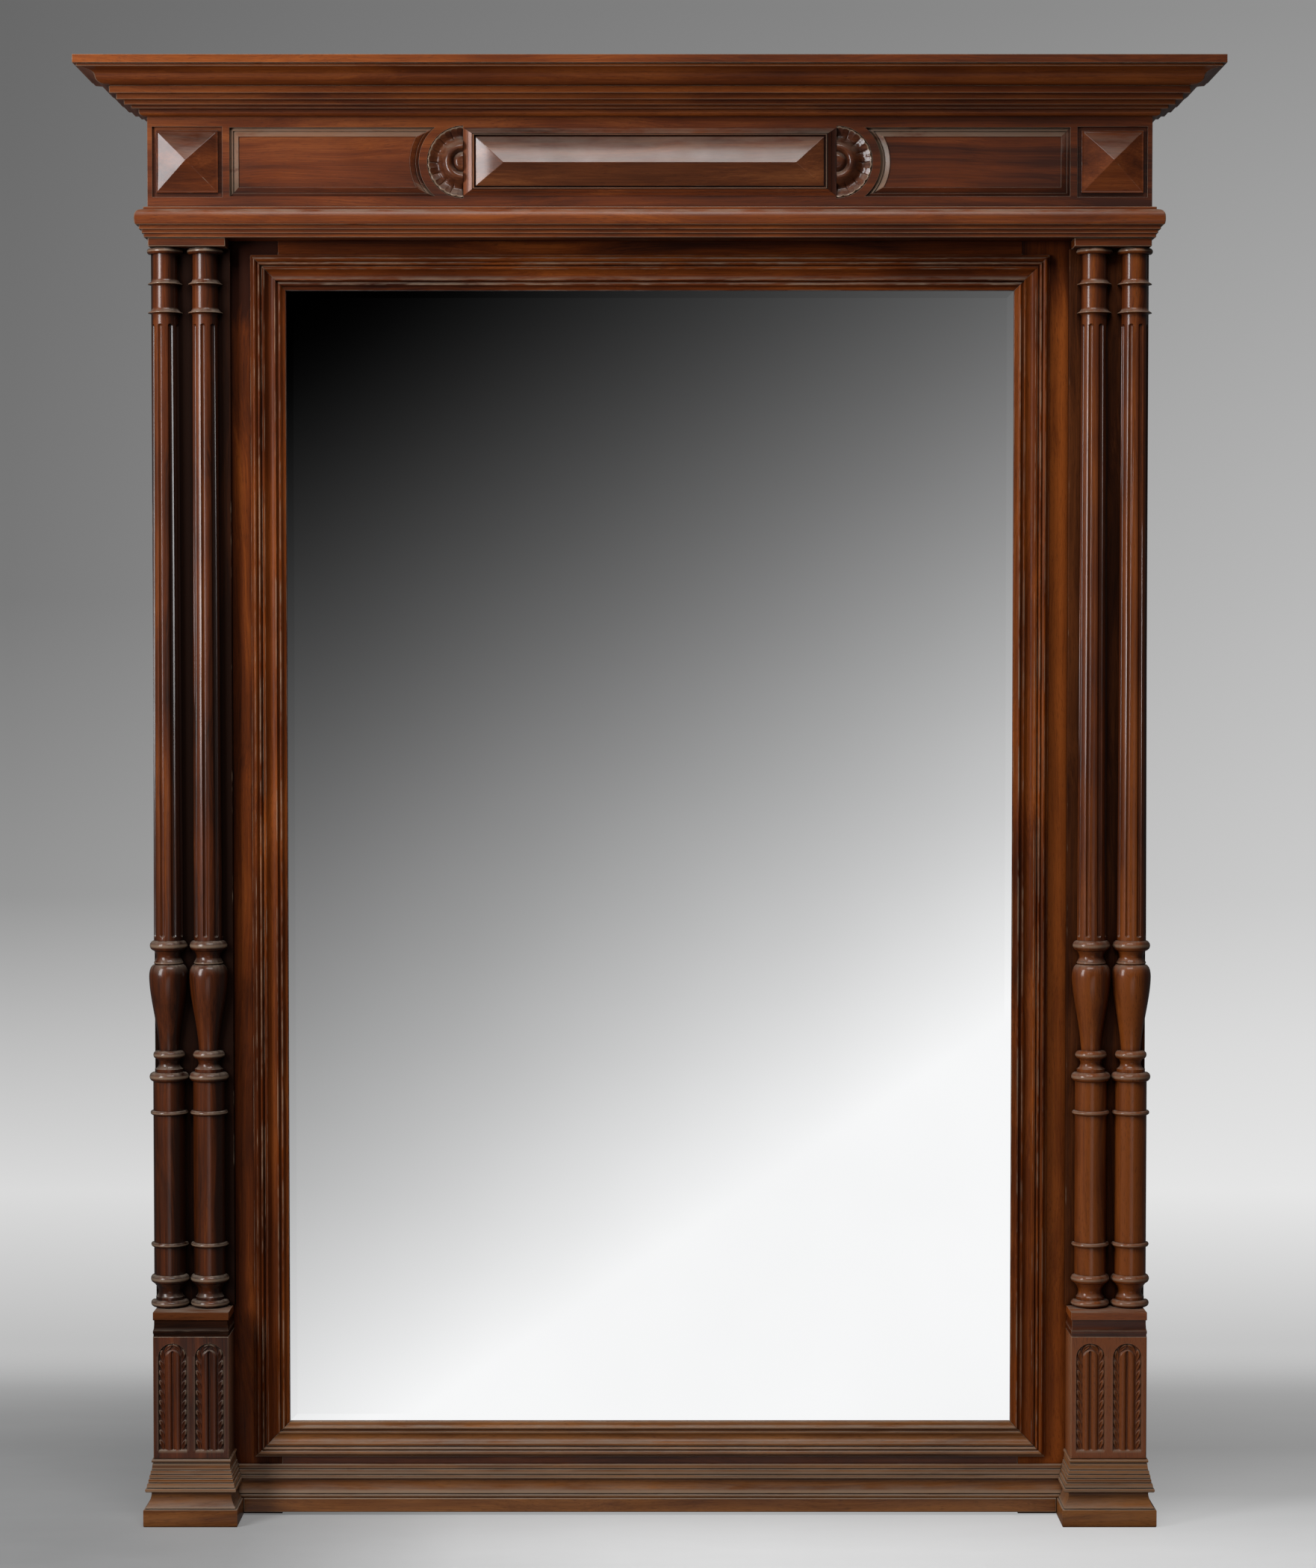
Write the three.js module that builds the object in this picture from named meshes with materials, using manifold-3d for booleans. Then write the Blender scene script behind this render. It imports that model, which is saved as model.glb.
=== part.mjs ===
// Overmantel mirror in carved walnut: a bevelled plate in a moulded frame, between pairs of
// split-turned columns on arcaded pedestals, under a frieze with faceted bosses and a cornice.
//
// Millimetres, +Z up. The front faces -Y and the back plane, which goes to the wall, faces +Y.
// Inside the group, a piece that stands d mm forward of the back plane lies at y = -d.

import * as THREE from 'three';
import { mergeVertices } from 'three/addons/utils/BufferGeometryUtils.js';
import Module from 'manifold-3d';

const wasm = await Module();
wasm.setup();

// ---- Driving dimensions --------------------------------------------------------------------

// Overall
const WIDTH = 1390;              // across the cornice
const HEIGHT = 1800;             // underside of the plinths to the top board
const FIT = 0.3;                 // clearance where one piece meets another

// Cornice
const CORNICE_OVERHANG = 78;     // beyond the frieze, at the front and both sides
const TOP_BOARD = 10;            // thickness
const CROWN_HEIGHT = 20.5;
const CROWN_OUT = 74;            // projection of the top fillet of the crown moulding
const CROWN_WAIST = 55;          // projection where its curve turns from round to hollow
const CROWN_FILLET = 3;
const BED_STEPS = [[9, 7.5], [17, 3.5], [24.5, 5], [32.5, 6.5], [40, 9]]; // [out, height]

// Frieze and architrave
const FRIEZE_HEIGHT = 110;
const ENTABLATURE_DEPTH = 65;    // back plane to the face of the frieze
const FRIEZE_BOARD = 22;         // thickness
const SOFFIT_BOARD = 10;
const ARCHITRAVE_FASCIAS = [[4.5, 4.6], [6.6, 4.6], [9.6, 5]]; // [out, height], lowest first
const ARCHITRAVE_NOSE = 19.6;    // height of the thumb moulding over them
const ARCHITRAVE_OUT = 14.8;     // its projection
const ARCHITRAVE_FILLET = [5, 3.6]; // [out, height]

// Corner bosses, centre boss and its surround
const BOSS_SIZE = 76;            // side of a square diamond-point boss
const BOSS_RISE = 15;            // height of a point over its block
const BOSS_BLOCK = 4;            // thickness of a block
const BOSS_LIP = 2.6;            // flat left round the facets of a corner boss
const BOSS_TIP = 0.6;            // a worn point or ridge is this wide, each side
const BOSS_MARGIN = 5;           // sunk margin left round a corner boss
const SINKING = 3;               // depth of that margin and of the first step of a panel
const CENTRE_BOSS_LENGTH = 427;
const CENTRE_BOSS_HEIGHT = 60;
const CENTRE_BOSS_RISE = 14;
const SURROUND_GAP = 2;          // open joint between the centre boss and its surround
const SURROUND_END = 13.5;       // width of the surround's short mouldings
const SURROUND_BAR = 9.5;        // width of its long mouldings
const SURROUND_RISE = 5;
// Two beads between fillets, as shares [across, up] of those sizes, or a bend and its end
const SURROUND_SECTION = [[0, 0], [1, 0], [1, 0.5], [0.85, 0.5], [0.72, 1.35, 0.52, 0.55],
  [0.32, 1.35, 0.15, 0.5], [0, 0.3]];

// Sunk panels and half-rosettes
const PANEL_MARGIN = 9;          // flat between a corner boss's margin and the panel
const PANEL_HEIGHT = 84;
const PANEL_STEP = 11;           // width of the panel's stepped edge
const PANEL_BAND = 4;            // width of the shallow step in it
const PANEL_BAND_SINKING = 1.4;
const PANEL_FIELD_SINKING = 5.5;
const ROSETTE_RADIUS = 43.5;
const ROSETTE_COLLAR = 11;       // flat ring round a rosette
const ROSETTE_SINKING = 7;       // a rosette is let this deep into the frieze
const ROSETTE_LOBES = 8;         // gadroons on the half turn, each with two scallops
const LOBE_DEPTH = 1.5;          // cut between two gadroons
const SCALLOP_DEPTH = 1.3;
const LOBE_STEPS = 4;            // facets on a gadroon, two to a scallop
// Eye, ring and bowl of a rosette: [radius, height over the frieze]
const ROSETTE_SECTION = [[4.5, 5], [7, 3], [8.8, 0.4], [11.5, 2.6], [14.5, 5.4], [17.5, 6.2],
  [21.5, 4.6], [27, 0.6], [33, -3], [38.5, -4.2], [41.5, -3.2], [42.6, -1.5]];

// Mirror frame
const FRAME_THICKNESS = 28;
const TOP_MARGIN = 17.1;         // flat of the top rail over the sight moulding
const SIDE_MARGIN = 23.5;        // flat of a stile between sight moulding and pilaster
const BOTTOM_MARGIN = 9.5;       // flat of the bottom rail under the sight moulding
const SIGHT_MOULDING = 43;       // width
// Step, two beads, hollow and inner bead: [distance in from its outer edge, height over the
// frame], or a bend and its end
const SIGHT_SECTION = [[0, 3], [3, 3], [3, 7], [5.5, 11, 9, 6.5], [11, 10.5, 13, 6.5], [13, 4.5],
  [14.5, 4.5], [14.5, 6.5], [17.5, 6.5], [23, -2.5, 30, 3.5], [31.5, 3.5], [31.5, 0.5], [33.5, 0.5],
  [36, 4.5, 38.5, 0.5], [39, -0.5], [43, -1.5]];
const RAIL_CLEARANCE = 4;        // bottom rail over the shelf
const TENON_LENGTH = 40;
const TENON_THICKNESS = 10;
const TENON_SHOULDER = 24;
const REBATE_WIDTH = 15;         // for the back planks
const REBATE_DEPTH = 8;

// Glass and back
const GLASS_THICKNESS = 5;
const GLASS_LAP = 8;             // glass hidden behind the sight moulding, each side
const GLASS_PLAY = 1.5;          // between the edge of the glass and the frame
const GLASS_FRONT = 22;          // face of the glass over the back plane
const BEVEL_WIDTH = 17;
const BEVEL_DROP = 1.6;
const STOP_WIDTH = 12;
const PLANK_COUNT = 4;
const PLANK_THICKNESS = 7;

// Pilasters, columns and abacus blocks
const PILASTER_WIDTH = 98;
const PILASTER_THICKNESS = 12;
const COLUMN_SPACING = 49.7;
const PAIR_SHIFT = 6.5;          // the pair stands this far outside the pilaster's middle
const ABACUS_WIDTH = 95;
const ABACUS_HEIGHT = 10.6;
const COLUMN_SEGMENTS = 16;      // facets on a full turn
// Turned from the foot up: form, radii, height
const LOWER_TURNING = [
  ['bead', 23.8, 8.7], ['shaft', 17.7, 17.7, 3.7], ['hollow', 17.2, 14.9, 20, 17], ['bead', 24, 11.2],
  ['shaft', 19.9, 19.9, 34.7], ['bead', 23.3, 5.6], ['shaft', 19.9, 19.9, 159.3], ['bead', 23.3, 5.6],
  ['shaft', 19.9, 19.9, 36], ['bead', 24.4, 11.7], ['shaft', 17.7, 17.7, 4],
  ['hollow', 17, 13.1, 15, 12.2], ['bead', 19.6, 10.6], ['vase', 12.4, 24.3, 18, 107.5],
  ['bead', 18.2, 4.5], ['hollow', 17.4, 15.4, 18, 12.5], ['bead', 23.3, 13.2],
];
const SHAFT_FOOT_RADIUS = 18.2;  // fluted shaft
const SHAFT_TOP_RADIUS = 16.2;
const CAPITAL = [
  ['disc', 16.2, 21.3, 9.5], ['shaft', 16.2, 16.2, 25.8], ['disc', 16.2, 21.3, 9.5],
  ['shaft', 15.7, 15.7, 30],
];
const CAPITAL_RING = [22.3, 7.5]; // [radius, height] of the bead under the abacus
const FLUTES = 8;                // on a full turn; half of them show
const FLUTE_WIDTH = 8;
const FLUTE_DEPTH = 3;
const FLUTE_END = 4;             // plain shaft under the flutes
const FLUTE_NECK = 11;           // and over them

// Pedestals, caps and plinths
const PEDESTAL_WIDTH = 93.5;
const PEDESTAL_DEPTH = 85;       // back plane to the face of the pedestal
const PLINTH_HEIGHT = 22;
const PLINTH_OUT = 11.4;         // projection of the plinth beyond the pedestal
const BASE_MOULDING = 41;        // height of the moulding over the plinth
// Fillet, scotia, torus and fascias over a plinth: [out, up], or a bend and its end
const BASE_SECTION = [[8.5, 0], [8.5, 3.7], [1.4, 5, 1.6, 11], [2.4, 20, 7.4, 22.8], [8, 23.2],
  [10.6, 25.6, 8, 28], [7.4, 28], [7.4, 33], [6, 33], [6, 41]];
const BASE_SLOPE = 15;           // height of the ogee over that
const BASE_FILLET = 4.5;
const PANEL_BLOCK = 152.5;       // height of the arcaded block
const CAP_HEIGHT = 30;
// Fillet, cavetto and fascias of a cap
const CAP_SECTION = [[-1.2, 0], [-1.2, 3.5], [0, 3.5], [0, 7], [-3.6, 9, -3.2, 20], [0, 20.5], [0, 30]];
const ARCH_WIDTH = 35.4;
const ARCH_SPACING = 45.5;
const ARCH_FOOT = 10;            // flat under the arches
const ARCH_TOP = 8.5;            // flat over the arches
const ARCH_SINKING = 3;
const ARCH_BORDER = 8.6;         // width of the carved border round the reeds
const REED_GROOVE = 2.6;         // between the two reeds
const REED_SINKING = 0.5;        // of their faces under the face of the pedestal

// Nails left in the top board
const NAIL_DIAMETER = 2.4;
const NAIL_IN = 6;
const NAIL_OUT = 4.5;
const NAIL_ENDS = [265, 248];    // from the left and right ends of the board

// ---- Levels and lines worked out from them -------------------------------------------------

const orderHalf = WIDTH / 2 - CORNICE_OVERHANG;
const depth = ENTABLATURE_DEPTH + CORNICE_OVERHANG;

const bedHeight = BED_STEPS.reduce((sum, [, height]) => sum + height, 0);
const topBoardFoot = HEIGHT - TOP_BOARD;
const crownFoot = topBoardFoot - CROWN_HEIGHT;
const bedFoot = crownFoot - bedHeight;
const friezeFoot = bedFoot - FRIEZE_HEIGHT;
const friezeMiddle = friezeFoot + FRIEZE_HEIGHT / 2;
const fasciasHeight = ARCHITRAVE_FASCIAS.reduce((sum, [, height]) => sum + height, 0);
const architraveHeight = fasciasHeight + ARCHITRAVE_NOSE + ARCHITRAVE_FILLET[1];
const architraveFoot = friezeFoot - architraveHeight;
const abacusFoot = architraveFoot - ABACUS_HEIGHT;

const baseTop = PLINTH_HEIGHT + BASE_MOULDING;
const panelBlockFoot = baseTop + BASE_SLOPE + BASE_FILLET;
const capFoot = panelBlockFoot + PANEL_BLOCK;
const pedestalTop = capFoot + CAP_HEIGHT;

const pilasterInner = orderHalf - PILASTER_WIDTH;
const bayMiddle = orderHalf - PILASTER_WIDTH / 2;

const sightHalf = pilasterInner - SIDE_MARGIN - SIGHT_MOULDING;
const sightTop = architraveFoot - TOP_MARGIN - SIGHT_MOULDING;
const sightFoot = baseTop + BOTTOM_MARGIN + SIGHT_MOULDING;
const frameEdge = GLASS_LAP + GLASS_PLAY;          // the frame stands this far behind the sight
const stileInner = sightHalf + frameEdge;
const topRailFoot = sightTop + frameEdge;
const bottomRailTop = sightFoot - frameEdge;

const SIDES = [['left', -1], ['right', 1]];
const NAIL_PLACES = [NAIL_ENDS[0] - WIDTH / 2, 0, WIDTH / 2 - NAIL_ENDS[1]];

// ---- Finishes ------------------------------------------------------------------------------

const WALNUT = { color: 0x5f321c, roughness: 0.38, metalness: 0 };
const CARVED_WALNUT = { color: 0x552c1a, roughness: 0.42, metalness: 0 };
const SILVERED_GLASS = { color: 0xb9bec2, roughness: 0.04, metalness: 1 };
const SOFTWOOD = { color: 0xa88255, roughness: 0.8, metalness: 0 };
const IRON = { color: 0x4a4642, roughness: 0.55, metalness: 1 };

const group = new THREE.Group();
group.name = 'overmantel_mirror';
group.position.y = depth / 2;

function add(name, geometry, finish, x = 0, y = 0, z = 0) {
  const mesh = new THREE.Mesh(geometry, new THREE.MeshStandardMaterial({ ...finish, flatShading: true }));
  mesh.name = name;
  mesh.position.set(x, y, z);
  group.add(mesh);
}

// ---- Closed solids -------------------------------------------------------------------------

// Shares the vertices of a geometry, drops empty triangles and turns the faces outwards.
function weld(geometry) {
  geometry.deleteAttribute('normal');
  geometry.deleteAttribute('uv');
  const merged = mergeVertices(geometry, 1e-4);
  const corners = merged.attributes.position;
  const index = merged.index.array;
  const faces = [];
  const [a, b, c] = [new THREE.Vector3(), new THREE.Vector3(), new THREE.Vector3()];
  let volume = 0;
  for (let i = 0; i < index.length; i += 3) {
    const [p, q, r] = [index[i], index[i + 1], index[i + 2]];
    if (p === q || q === r || r === p) continue;
    faces.push(p, q, r);
    a.fromBufferAttribute(corners, p);
    b.fromBufferAttribute(corners, q);
    c.fromBufferAttribute(corners, r);
    volume += a.dot(b.cross(c));
  }
  if (volume < 0) faces.reverse();
  merged.setIndex(faces);
  return merged;
}

function toManifold(geometry) {
  const mesh = new wasm.Mesh({
    numProp: 3,
    vertProperties: Float32Array.from(geometry.attributes.position.array),
    triVerts: Uint32Array.from(geometry.index.array),
  });
  return new wasm.Manifold(mesh);
}

function toGeometry(manifold) {
  const mesh = manifold.getMesh();
  const geometry = new THREE.BufferGeometry();
  geometry.setAttribute('position', new THREE.BufferAttribute(mesh.vertProperties, 3));
  geometry.setIndex(new THREE.BufferAttribute(mesh.triVerts, 1));
  return geometry;
}

function join(...pieces) {
  return toGeometry(pieces.map(toManifold).reduce((whole, piece) => whole.add(piece)));
}

function cut(body, ...tools) {
  return toGeometry(tools.map(toManifold).reduce((rest, tool) => rest.subtract(tool), toManifold(body)));
}

// A block between two x lines, two depths over the back plane and two levels.
function block([x0, x1], [d0, d1], [z0, z1]) {
  const box = new THREE.BoxGeometry(Math.abs(x1 - x0), d1 - d0, z1 - z0);
  box.translate((x0 + x1) / 2, -(d0 + d1) / 2, (z0 + z1) / 2);
  return weld(box);
}

// A closed solid through rectangles [x0, x1, y0, y1, z], lowest first.
function loft(levels) {
  const corners = levels.flatMap(([x0, x1, y0, y1, z]) => [x0, y0, z, x1, y0, z, x1, y1, z, x0, y1, z]);
  const top = 4 * (levels.length - 1);
  const index = [0, 2, 1, 0, 3, 2, top, top + 1, top + 2, top, top + 2, top + 3];
  for (let ring = 0; ring < top; ring += 4) {
    for (let side = 0; side < 4; side++) {
      const a = ring + side;
      const b = ring + (side + 1) % 4;
      index.push(a, b, b + 4, a, b + 4, a + 4);
    }
  }
  const geometry = new THREE.BufferGeometry();
  geometry.setAttribute('position', new THREE.Float32BufferAttribute(corners, 3));
  geometry.setIndex(index);
  return weld(geometry);
}

// Draws a section: a point is a line's end [x, y], or a bend and a curve's end [cx, cy, x, y].
function draw(points, path = new THREE.Shape()) {
  points.forEach(([x, y, ...end], i) => {
    if (end.length > 0) path.quadraticCurveTo(x, y, ...end);
    else if (i === 0) path.moveTo(x, y);
    else path.lineTo(x, y);
  });
  return path;
}

// A length of moulding: place() carries each point of the outline from t = 0 to t = 1.
function moulding(outline, place, curveSegments = 5) {
  const run = new THREE.ExtrudeGeometry(outline, { depth: 1, bevelEnabled: false, curveSegments });
  const at = run.attributes.position;
  for (let i = 0; i < at.count; i++) {
    at.setXYZ(i, ...place(at.getX(i), at.getY(i), at.getZ(i)));
  }
  return weld(run);
}

const between = (from, to, t) => from + (to - from) * t;

// A front run and two returns round the entablature, mitred at the corners. The outline's x is
// the projection from the frieze face and its y is the height over the foot.
function entablatureMoulding(name, outline, foot) {
  add(`${name}_front`, moulding(outline, (out, up, t) => {
    const end = orderHalf + out - FIT;
    return [between(-end, end, t), -ENTABLATURE_DEPTH - out, foot + up];
  }), WALNUT);
  for (const [side, sign] of SIDES) {
    add(`${name}_${side}`, moulding(outline, (out, up, t) => (
      [sign * (orderHalf + out), between(0, -ENTABLATURE_DEPTH - out, t), foot + up]
    )), WALNUT);
  }
}

// ---- Cornice -------------------------------------------------------------------------------

// Cyma: rounded below, hollow above, under a fillet.
function crownOutline() {
  const [spring] = BED_STEPS.at(-1);
  const height = CROWN_HEIGHT - FIT;
  const waistHeight = height * 0.45;
  const outline = new THREE.Shape();
  outline.moveTo(FIT, 0);
  outline.lineTo(spring + 1, 0);
  outline.quadraticCurveTo(CROWN_WAIST - 0.5, 0, CROWN_WAIST, waistHeight);
  outline.quadraticCurveTo(CROWN_WAIST + 0.5, height - CROWN_FILLET - 0.5, CROWN_OUT, height - CROWN_FILLET);
  outline.lineTo(CROWN_OUT, height);
  outline.lineTo(FIT, height);
  return outline;
}

// Five fascias stepping out; the lowest is a small round.
function bedOutline() {
  const outline = new THREE.Shape();
  outline.moveTo(FIT, 0);
  outline.lineTo(2, 0);
  let level = 0;
  BED_STEPS.forEach(([out, height], step) => {
    if (step === 0) outline.quadraticCurveTo(out, 0, out, height * 0.6);
    else outline.lineTo(out, level);
    level += height;
    outline.lineTo(out, step === BED_STEPS.length - 1 ? level - FIT : level);
  });
  outline.lineTo(FIT, bedHeight - FIT);
  return outline;
}

function nail() {
  const rise = NAIL_OUT * 0.6;
  const route = new THREE.CatmullRomCurve3([
    new THREE.Vector3(0, 0, -NAIL_IN),
    new THREE.Vector3(0, 0, 0),
    new THREE.Vector3(NAIL_OUT * 0.25, 0, rise),
    new THREE.Vector3(NAIL_OUT * 1.6, 0, NAIL_OUT - NAIL_DIAMETER / 2),
  ]);
  const section = new THREE.Shape().absarc(0, 0, NAIL_DIAMETER / 2, 0, 2 * Math.PI);
  return weld(new THREE.ExtrudeGeometry(section, { steps: 8, extrudePath: route, curveSegments: 3 }));
}

function topBoard() {
  const half = WIDTH / 2;
  const board = block([-half, half], [0, depth], [topBoardFoot, HEIGHT]);
  const holes = NAIL_PLACES.map((x) => {
    const radius = NAIL_DIAMETER / 2 + FIT;
    const hole = new THREE.CylinderGeometry(radius, radius, 2 * NAIL_IN + 1, 8);
    hole.rotateX(Math.PI / 2);
    hole.translate(x, -depth / 2, HEIGHT);
    return weld(hole);
  });
  return cut(board, ...holes);
}

add('top_board', topBoard(), WALNUT);
entablatureMoulding('crown', crownOutline(), crownFoot);
entablatureMoulding('bed_moulding', bedOutline(), bedFoot);
['left', 'middle', 'right'].forEach((place, i) => {
  add(`bent_nail_${place}`, nail(), IRON, NAIL_PLACES[i], -depth / 2, HEIGHT);
});

// ---- Frieze --------------------------------------------------------------------------------

const surroundHalfLength = CENTRE_BOSS_LENGTH / 2 + SURROUND_GAP + SURROUND_END;
const surroundHalfHeight = CENTRE_BOSS_HEIGHT / 2 + SURROUND_GAP + SURROUND_BAR;
const rosetteLine = surroundHalfLength + FIT;          // a half-rosette's flat side
const bossMiddle = bayMiddle;

// A panel right of the rosette: straight on three sides, hollow round the rosette's collar.
function panelOutline(inset) {
  const half = PANEL_HEIGHT / 2 - inset;
  const radius = ROSETTE_RADIUS + ROSETTE_COLLAR + inset;
  const end = bossMiddle - BOSS_SIZE / 2 - BOSS_MARGIN - PANEL_MARGIN - inset;
  const turn = Math.asin(half / radius);
  const outline = new THREE.Shape();
  outline.moveTo(end, -half);
  outline.lineTo(end, half);
  outline.absarc(rosetteLine, 0, radius, turn, -turn, true);
  return outline;
}

// A cutter that sinks an outline drawn on the frieze face by a depth.
function sinking(outline, sign, sink) {
  return moulding(outline, (x, z, t) => (
    [sign * x, -between(ENTABLATURE_DEPTH - sink, ENTABLATURE_DEPTH + 1, t), friezeMiddle + z]
  ), 14);
}

// The half-disc that a rosette is let into.
function rosetteSeat() {
  const radius = ROSETTE_RADIUS + 2 * FIT;
  const outline = new THREE.Shape();
  outline.moveTo(rosetteLine - FIT, radius);
  outline.absarc(rosetteLine, 0, radius, Math.PI / 2, -Math.PI / 2, true);
  outline.lineTo(rosetteLine - FIT, -radius);
  return outline;
}

function friezeBoard() {
  const back = ENTABLATURE_DEPTH - FRIEZE_BOARD;
  const board = block([-orderHalf, orderHalf], [back, ENTABLATURE_DEPTH],
    [architraveFoot, topBoardFoot - FIT]);
  const margin = BOSS_SIZE / 2 + BOSS_MARGIN;
  const tools = SIDES.flatMap(([, sign]) => [
    block([sign * (bossMiddle - margin), sign * (bossMiddle + margin)],
      [ENTABLATURE_DEPTH - SINKING, ENTABLATURE_DEPTH + 1], [friezeMiddle - margin, friezeMiddle + margin]),
    sinking(panelOutline(0), sign, PANEL_BAND_SINKING),
    sinking(panelOutline(PANEL_BAND), sign, SINKING),
    sinking(panelOutline(PANEL_STEP), sign, PANEL_FIELD_SINKING),
    sinking(rosetteSeat(), sign, ROSETTE_SINKING),
  ]);
  return cut(board, ...tools);
}

// A block with sloping facets inside a flat lip, standing on the frieze and pointing forwards.
function boss(length, height, rise, ridge, lip) {
  const [x, y] = [length / 2, height / 2];
  const facets = loft([
    [-x, x, -y, y, 0],
    [-x, x, -y, y, BOSS_BLOCK],
    [lip - x, x - lip, lip - y, y - lip, BOSS_BLOCK],
    [-ridge - BOSS_TIP, ridge + BOSS_TIP, -BOSS_TIP, BOSS_TIP, BOSS_BLOCK + rise],
  ]);
  return facets.rotateX(Math.PI / 2);
}

function addSurround() {
  const innerLength = surroundHalfLength - SURROUND_END;
  const innerHeight = surroundHalfHeight - SURROUND_BAR;
  const rise = (up) => -ENTABLATURE_DEPTH - FIT - up * SURROUND_RISE;
  for (const [side, sign] of [['bottom', -1], ['top', 1]]) {
    add(`boss_surround_${side}`, moulding(draw(SURROUND_SECTION), (across, up, t) => {
      const end = innerLength + across * SURROUND_END - FIT;
      return [between(-end, end, t), rise(up), friezeMiddle + sign * (innerHeight + across * SURROUND_BAR)];
    }), WALNUT);
  }
  for (const [side, sign] of SIDES) {
    add(`boss_surround_${side}`, moulding(draw(SURROUND_SECTION), (across, up, t) => {
      const end = innerHeight + across * SURROUND_BAR;
      return [sign * (innerLength + across * SURROUND_END), rise(up), friezeMiddle + between(-end, end, t)];
    }), WALNUT);
  }
}

// Half of a gadrooned rosette, let into the frieze: an eye and a rounded ring in the middle of a
// bowl, whose gadroons part towards a scalloped rim. Its flat side lies on x = 0, and it faces -Y.
function halfRosette(sign) {
  const spokes = ROSETTE_LOBES * LOBE_STEPS;
  const corners = [0, ROSETTE_SINKING - FIT, 0, 0, -ROSETTE_SECTION[0][1] - 0.8, 0];
  const point = (radius, height, angle) => corners.push(
    sign * radius * Math.cos(angle), -height, radius * Math.sin(angle));
  const [ring] = ROSETTE_SECTION.reduce((best, next) => (next[1] > best[1] ? next : best));
  for (let spoke = 0; spoke <= spokes; spoke++) {
    const angle = Math.PI * (spoke / spokes - 0.5);
    const lobe = Math.abs(Math.sin(Math.PI * spoke / LOBE_STEPS)); // 0 between two gadroons
    const scallop = Math.abs(Math.sin(2 * Math.PI * spoke / LOBE_STEPS));
    for (const [radius, height] of ROSETTE_SECTION) {
      const parting = Math.max(0, (radius - ring) / (ROSETTE_RADIUS - ring));
      point(radius * (1 - parting * (1 - scallop) * SCALLOP_DEPTH / ROSETTE_RADIUS),
        height - LOBE_DEPTH * parting * (1 - lobe), angle);
    }
    point(ROSETTE_RADIUS - SCALLOP_DEPTH * (1 - scallop), 0, angle);
    point(ROSETTE_RADIUS, 0, angle);
    point(ROSETTE_RADIUS, FIT - ROSETTE_SINKING, angle);
  }
  const rings = ROSETTE_SECTION.length + 3;
  const at = (spoke, ring) => 2 + spoke * rings + ring;
  const index = [];
  for (let spoke = 0; spoke < spokes; spoke++) {
    index.push(1, at(spoke, 0), at(spoke + 1, 0));
    index.push(0, at(spoke + 1, rings - 1), at(spoke, rings - 1));
    for (let ring = 0; ring < rings - 1; ring++) {
      index.push(at(spoke, ring), at(spoke, ring + 1), at(spoke + 1, ring + 1));
      index.push(at(spoke, ring), at(spoke + 1, ring + 1), at(spoke + 1, ring));
    }
  }
  index.push(0, at(0, 0), 1, 0, 1, at(spokes, 0));
  for (let ring = 0; ring < rings - 1; ring++) {
    index.push(0, at(0, ring + 1), at(0, ring));
    index.push(0, at(spokes, ring), at(spokes, ring + 1));
  }
  const geometry = new THREE.BufferGeometry();
  geometry.setAttribute('position', new THREE.Float32BufferAttribute(corners, 3));
  geometry.setIndex(index);
  return weld(geometry);
}

add('frieze_board', friezeBoard(), WALNUT);
for (const [side, sign] of SIDES) {
  const returnDepth = [FRAME_THICKNESS + FIT, ENTABLATURE_DEPTH - FRIEZE_BOARD - FIT];
  add(`frieze_return_${side}`, block([sign * (orderHalf - FRIEZE_BOARD), sign * orderHalf], returnDepth,
    [architraveFoot, topBoardFoot - FIT]), WALNUT);
  add(`corner_boss_${side}`, boss(BOSS_SIZE, BOSS_SIZE, BOSS_RISE, 0, BOSS_LIP), WALNUT,
    sign * bossMiddle, -ENTABLATURE_DEPTH + SINKING - FIT, friezeMiddle);
  add(`rosette_${side}`, halfRosette(sign), CARVED_WALNUT,
    sign * rosetteLine, -ENTABLATURE_DEPTH, friezeMiddle);
}
add('frieze_soffit', block([FRIEZE_BOARD + FIT - orderHalf, orderHalf - FRIEZE_BOARD - FIT],
  [FRAME_THICKNESS + FIT, ENTABLATURE_DEPTH - FRIEZE_BOARD - FIT],
  [architraveFoot, architraveFoot + SOFFIT_BOARD]), WALNUT);
add('centre_boss', boss(CENTRE_BOSS_LENGTH, CENTRE_BOSS_HEIGHT, CENTRE_BOSS_RISE,
  (CENTRE_BOSS_LENGTH - CENTRE_BOSS_HEIGHT) / 2, 0), WALNUT, 0, -ENTABLATURE_DEPTH - FIT, friezeMiddle);
addSurround();

// ---- Architrave and abacus blocks ----------------------------------------------------------

// Fillet, thumb moulding and three small fascias below it.
function architraveOutline() {
  const [filletOut, filletHeight] = ARCHITRAVE_FILLET;
  const filletFoot = architraveHeight - filletHeight;
  const outline = new THREE.Shape();
  outline.moveTo(FIT, 0);
  let level = 0;
  for (const [out, height] of ARCHITRAVE_FASCIAS) {
    outline.lineTo(out, level);
    level += height;
    outline.lineTo(out, level);
  }
  const turn = level + ARCHITRAVE_NOSE * 0.45;
  outline.lineTo(ARCHITRAVE_OUT - 2.4, level);
  outline.quadraticCurveTo(ARCHITRAVE_OUT, level, ARCHITRAVE_OUT, turn);
  outline.quadraticCurveTo(ARCHITRAVE_OUT, filletFoot - 1, filletOut + 1.4, filletFoot);
  outline.lineTo(filletOut, filletFoot);
  outline.lineTo(filletOut, architraveHeight - FIT);
  outline.lineTo(FIT, architraveHeight - FIT);
  return outline;
}

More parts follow.
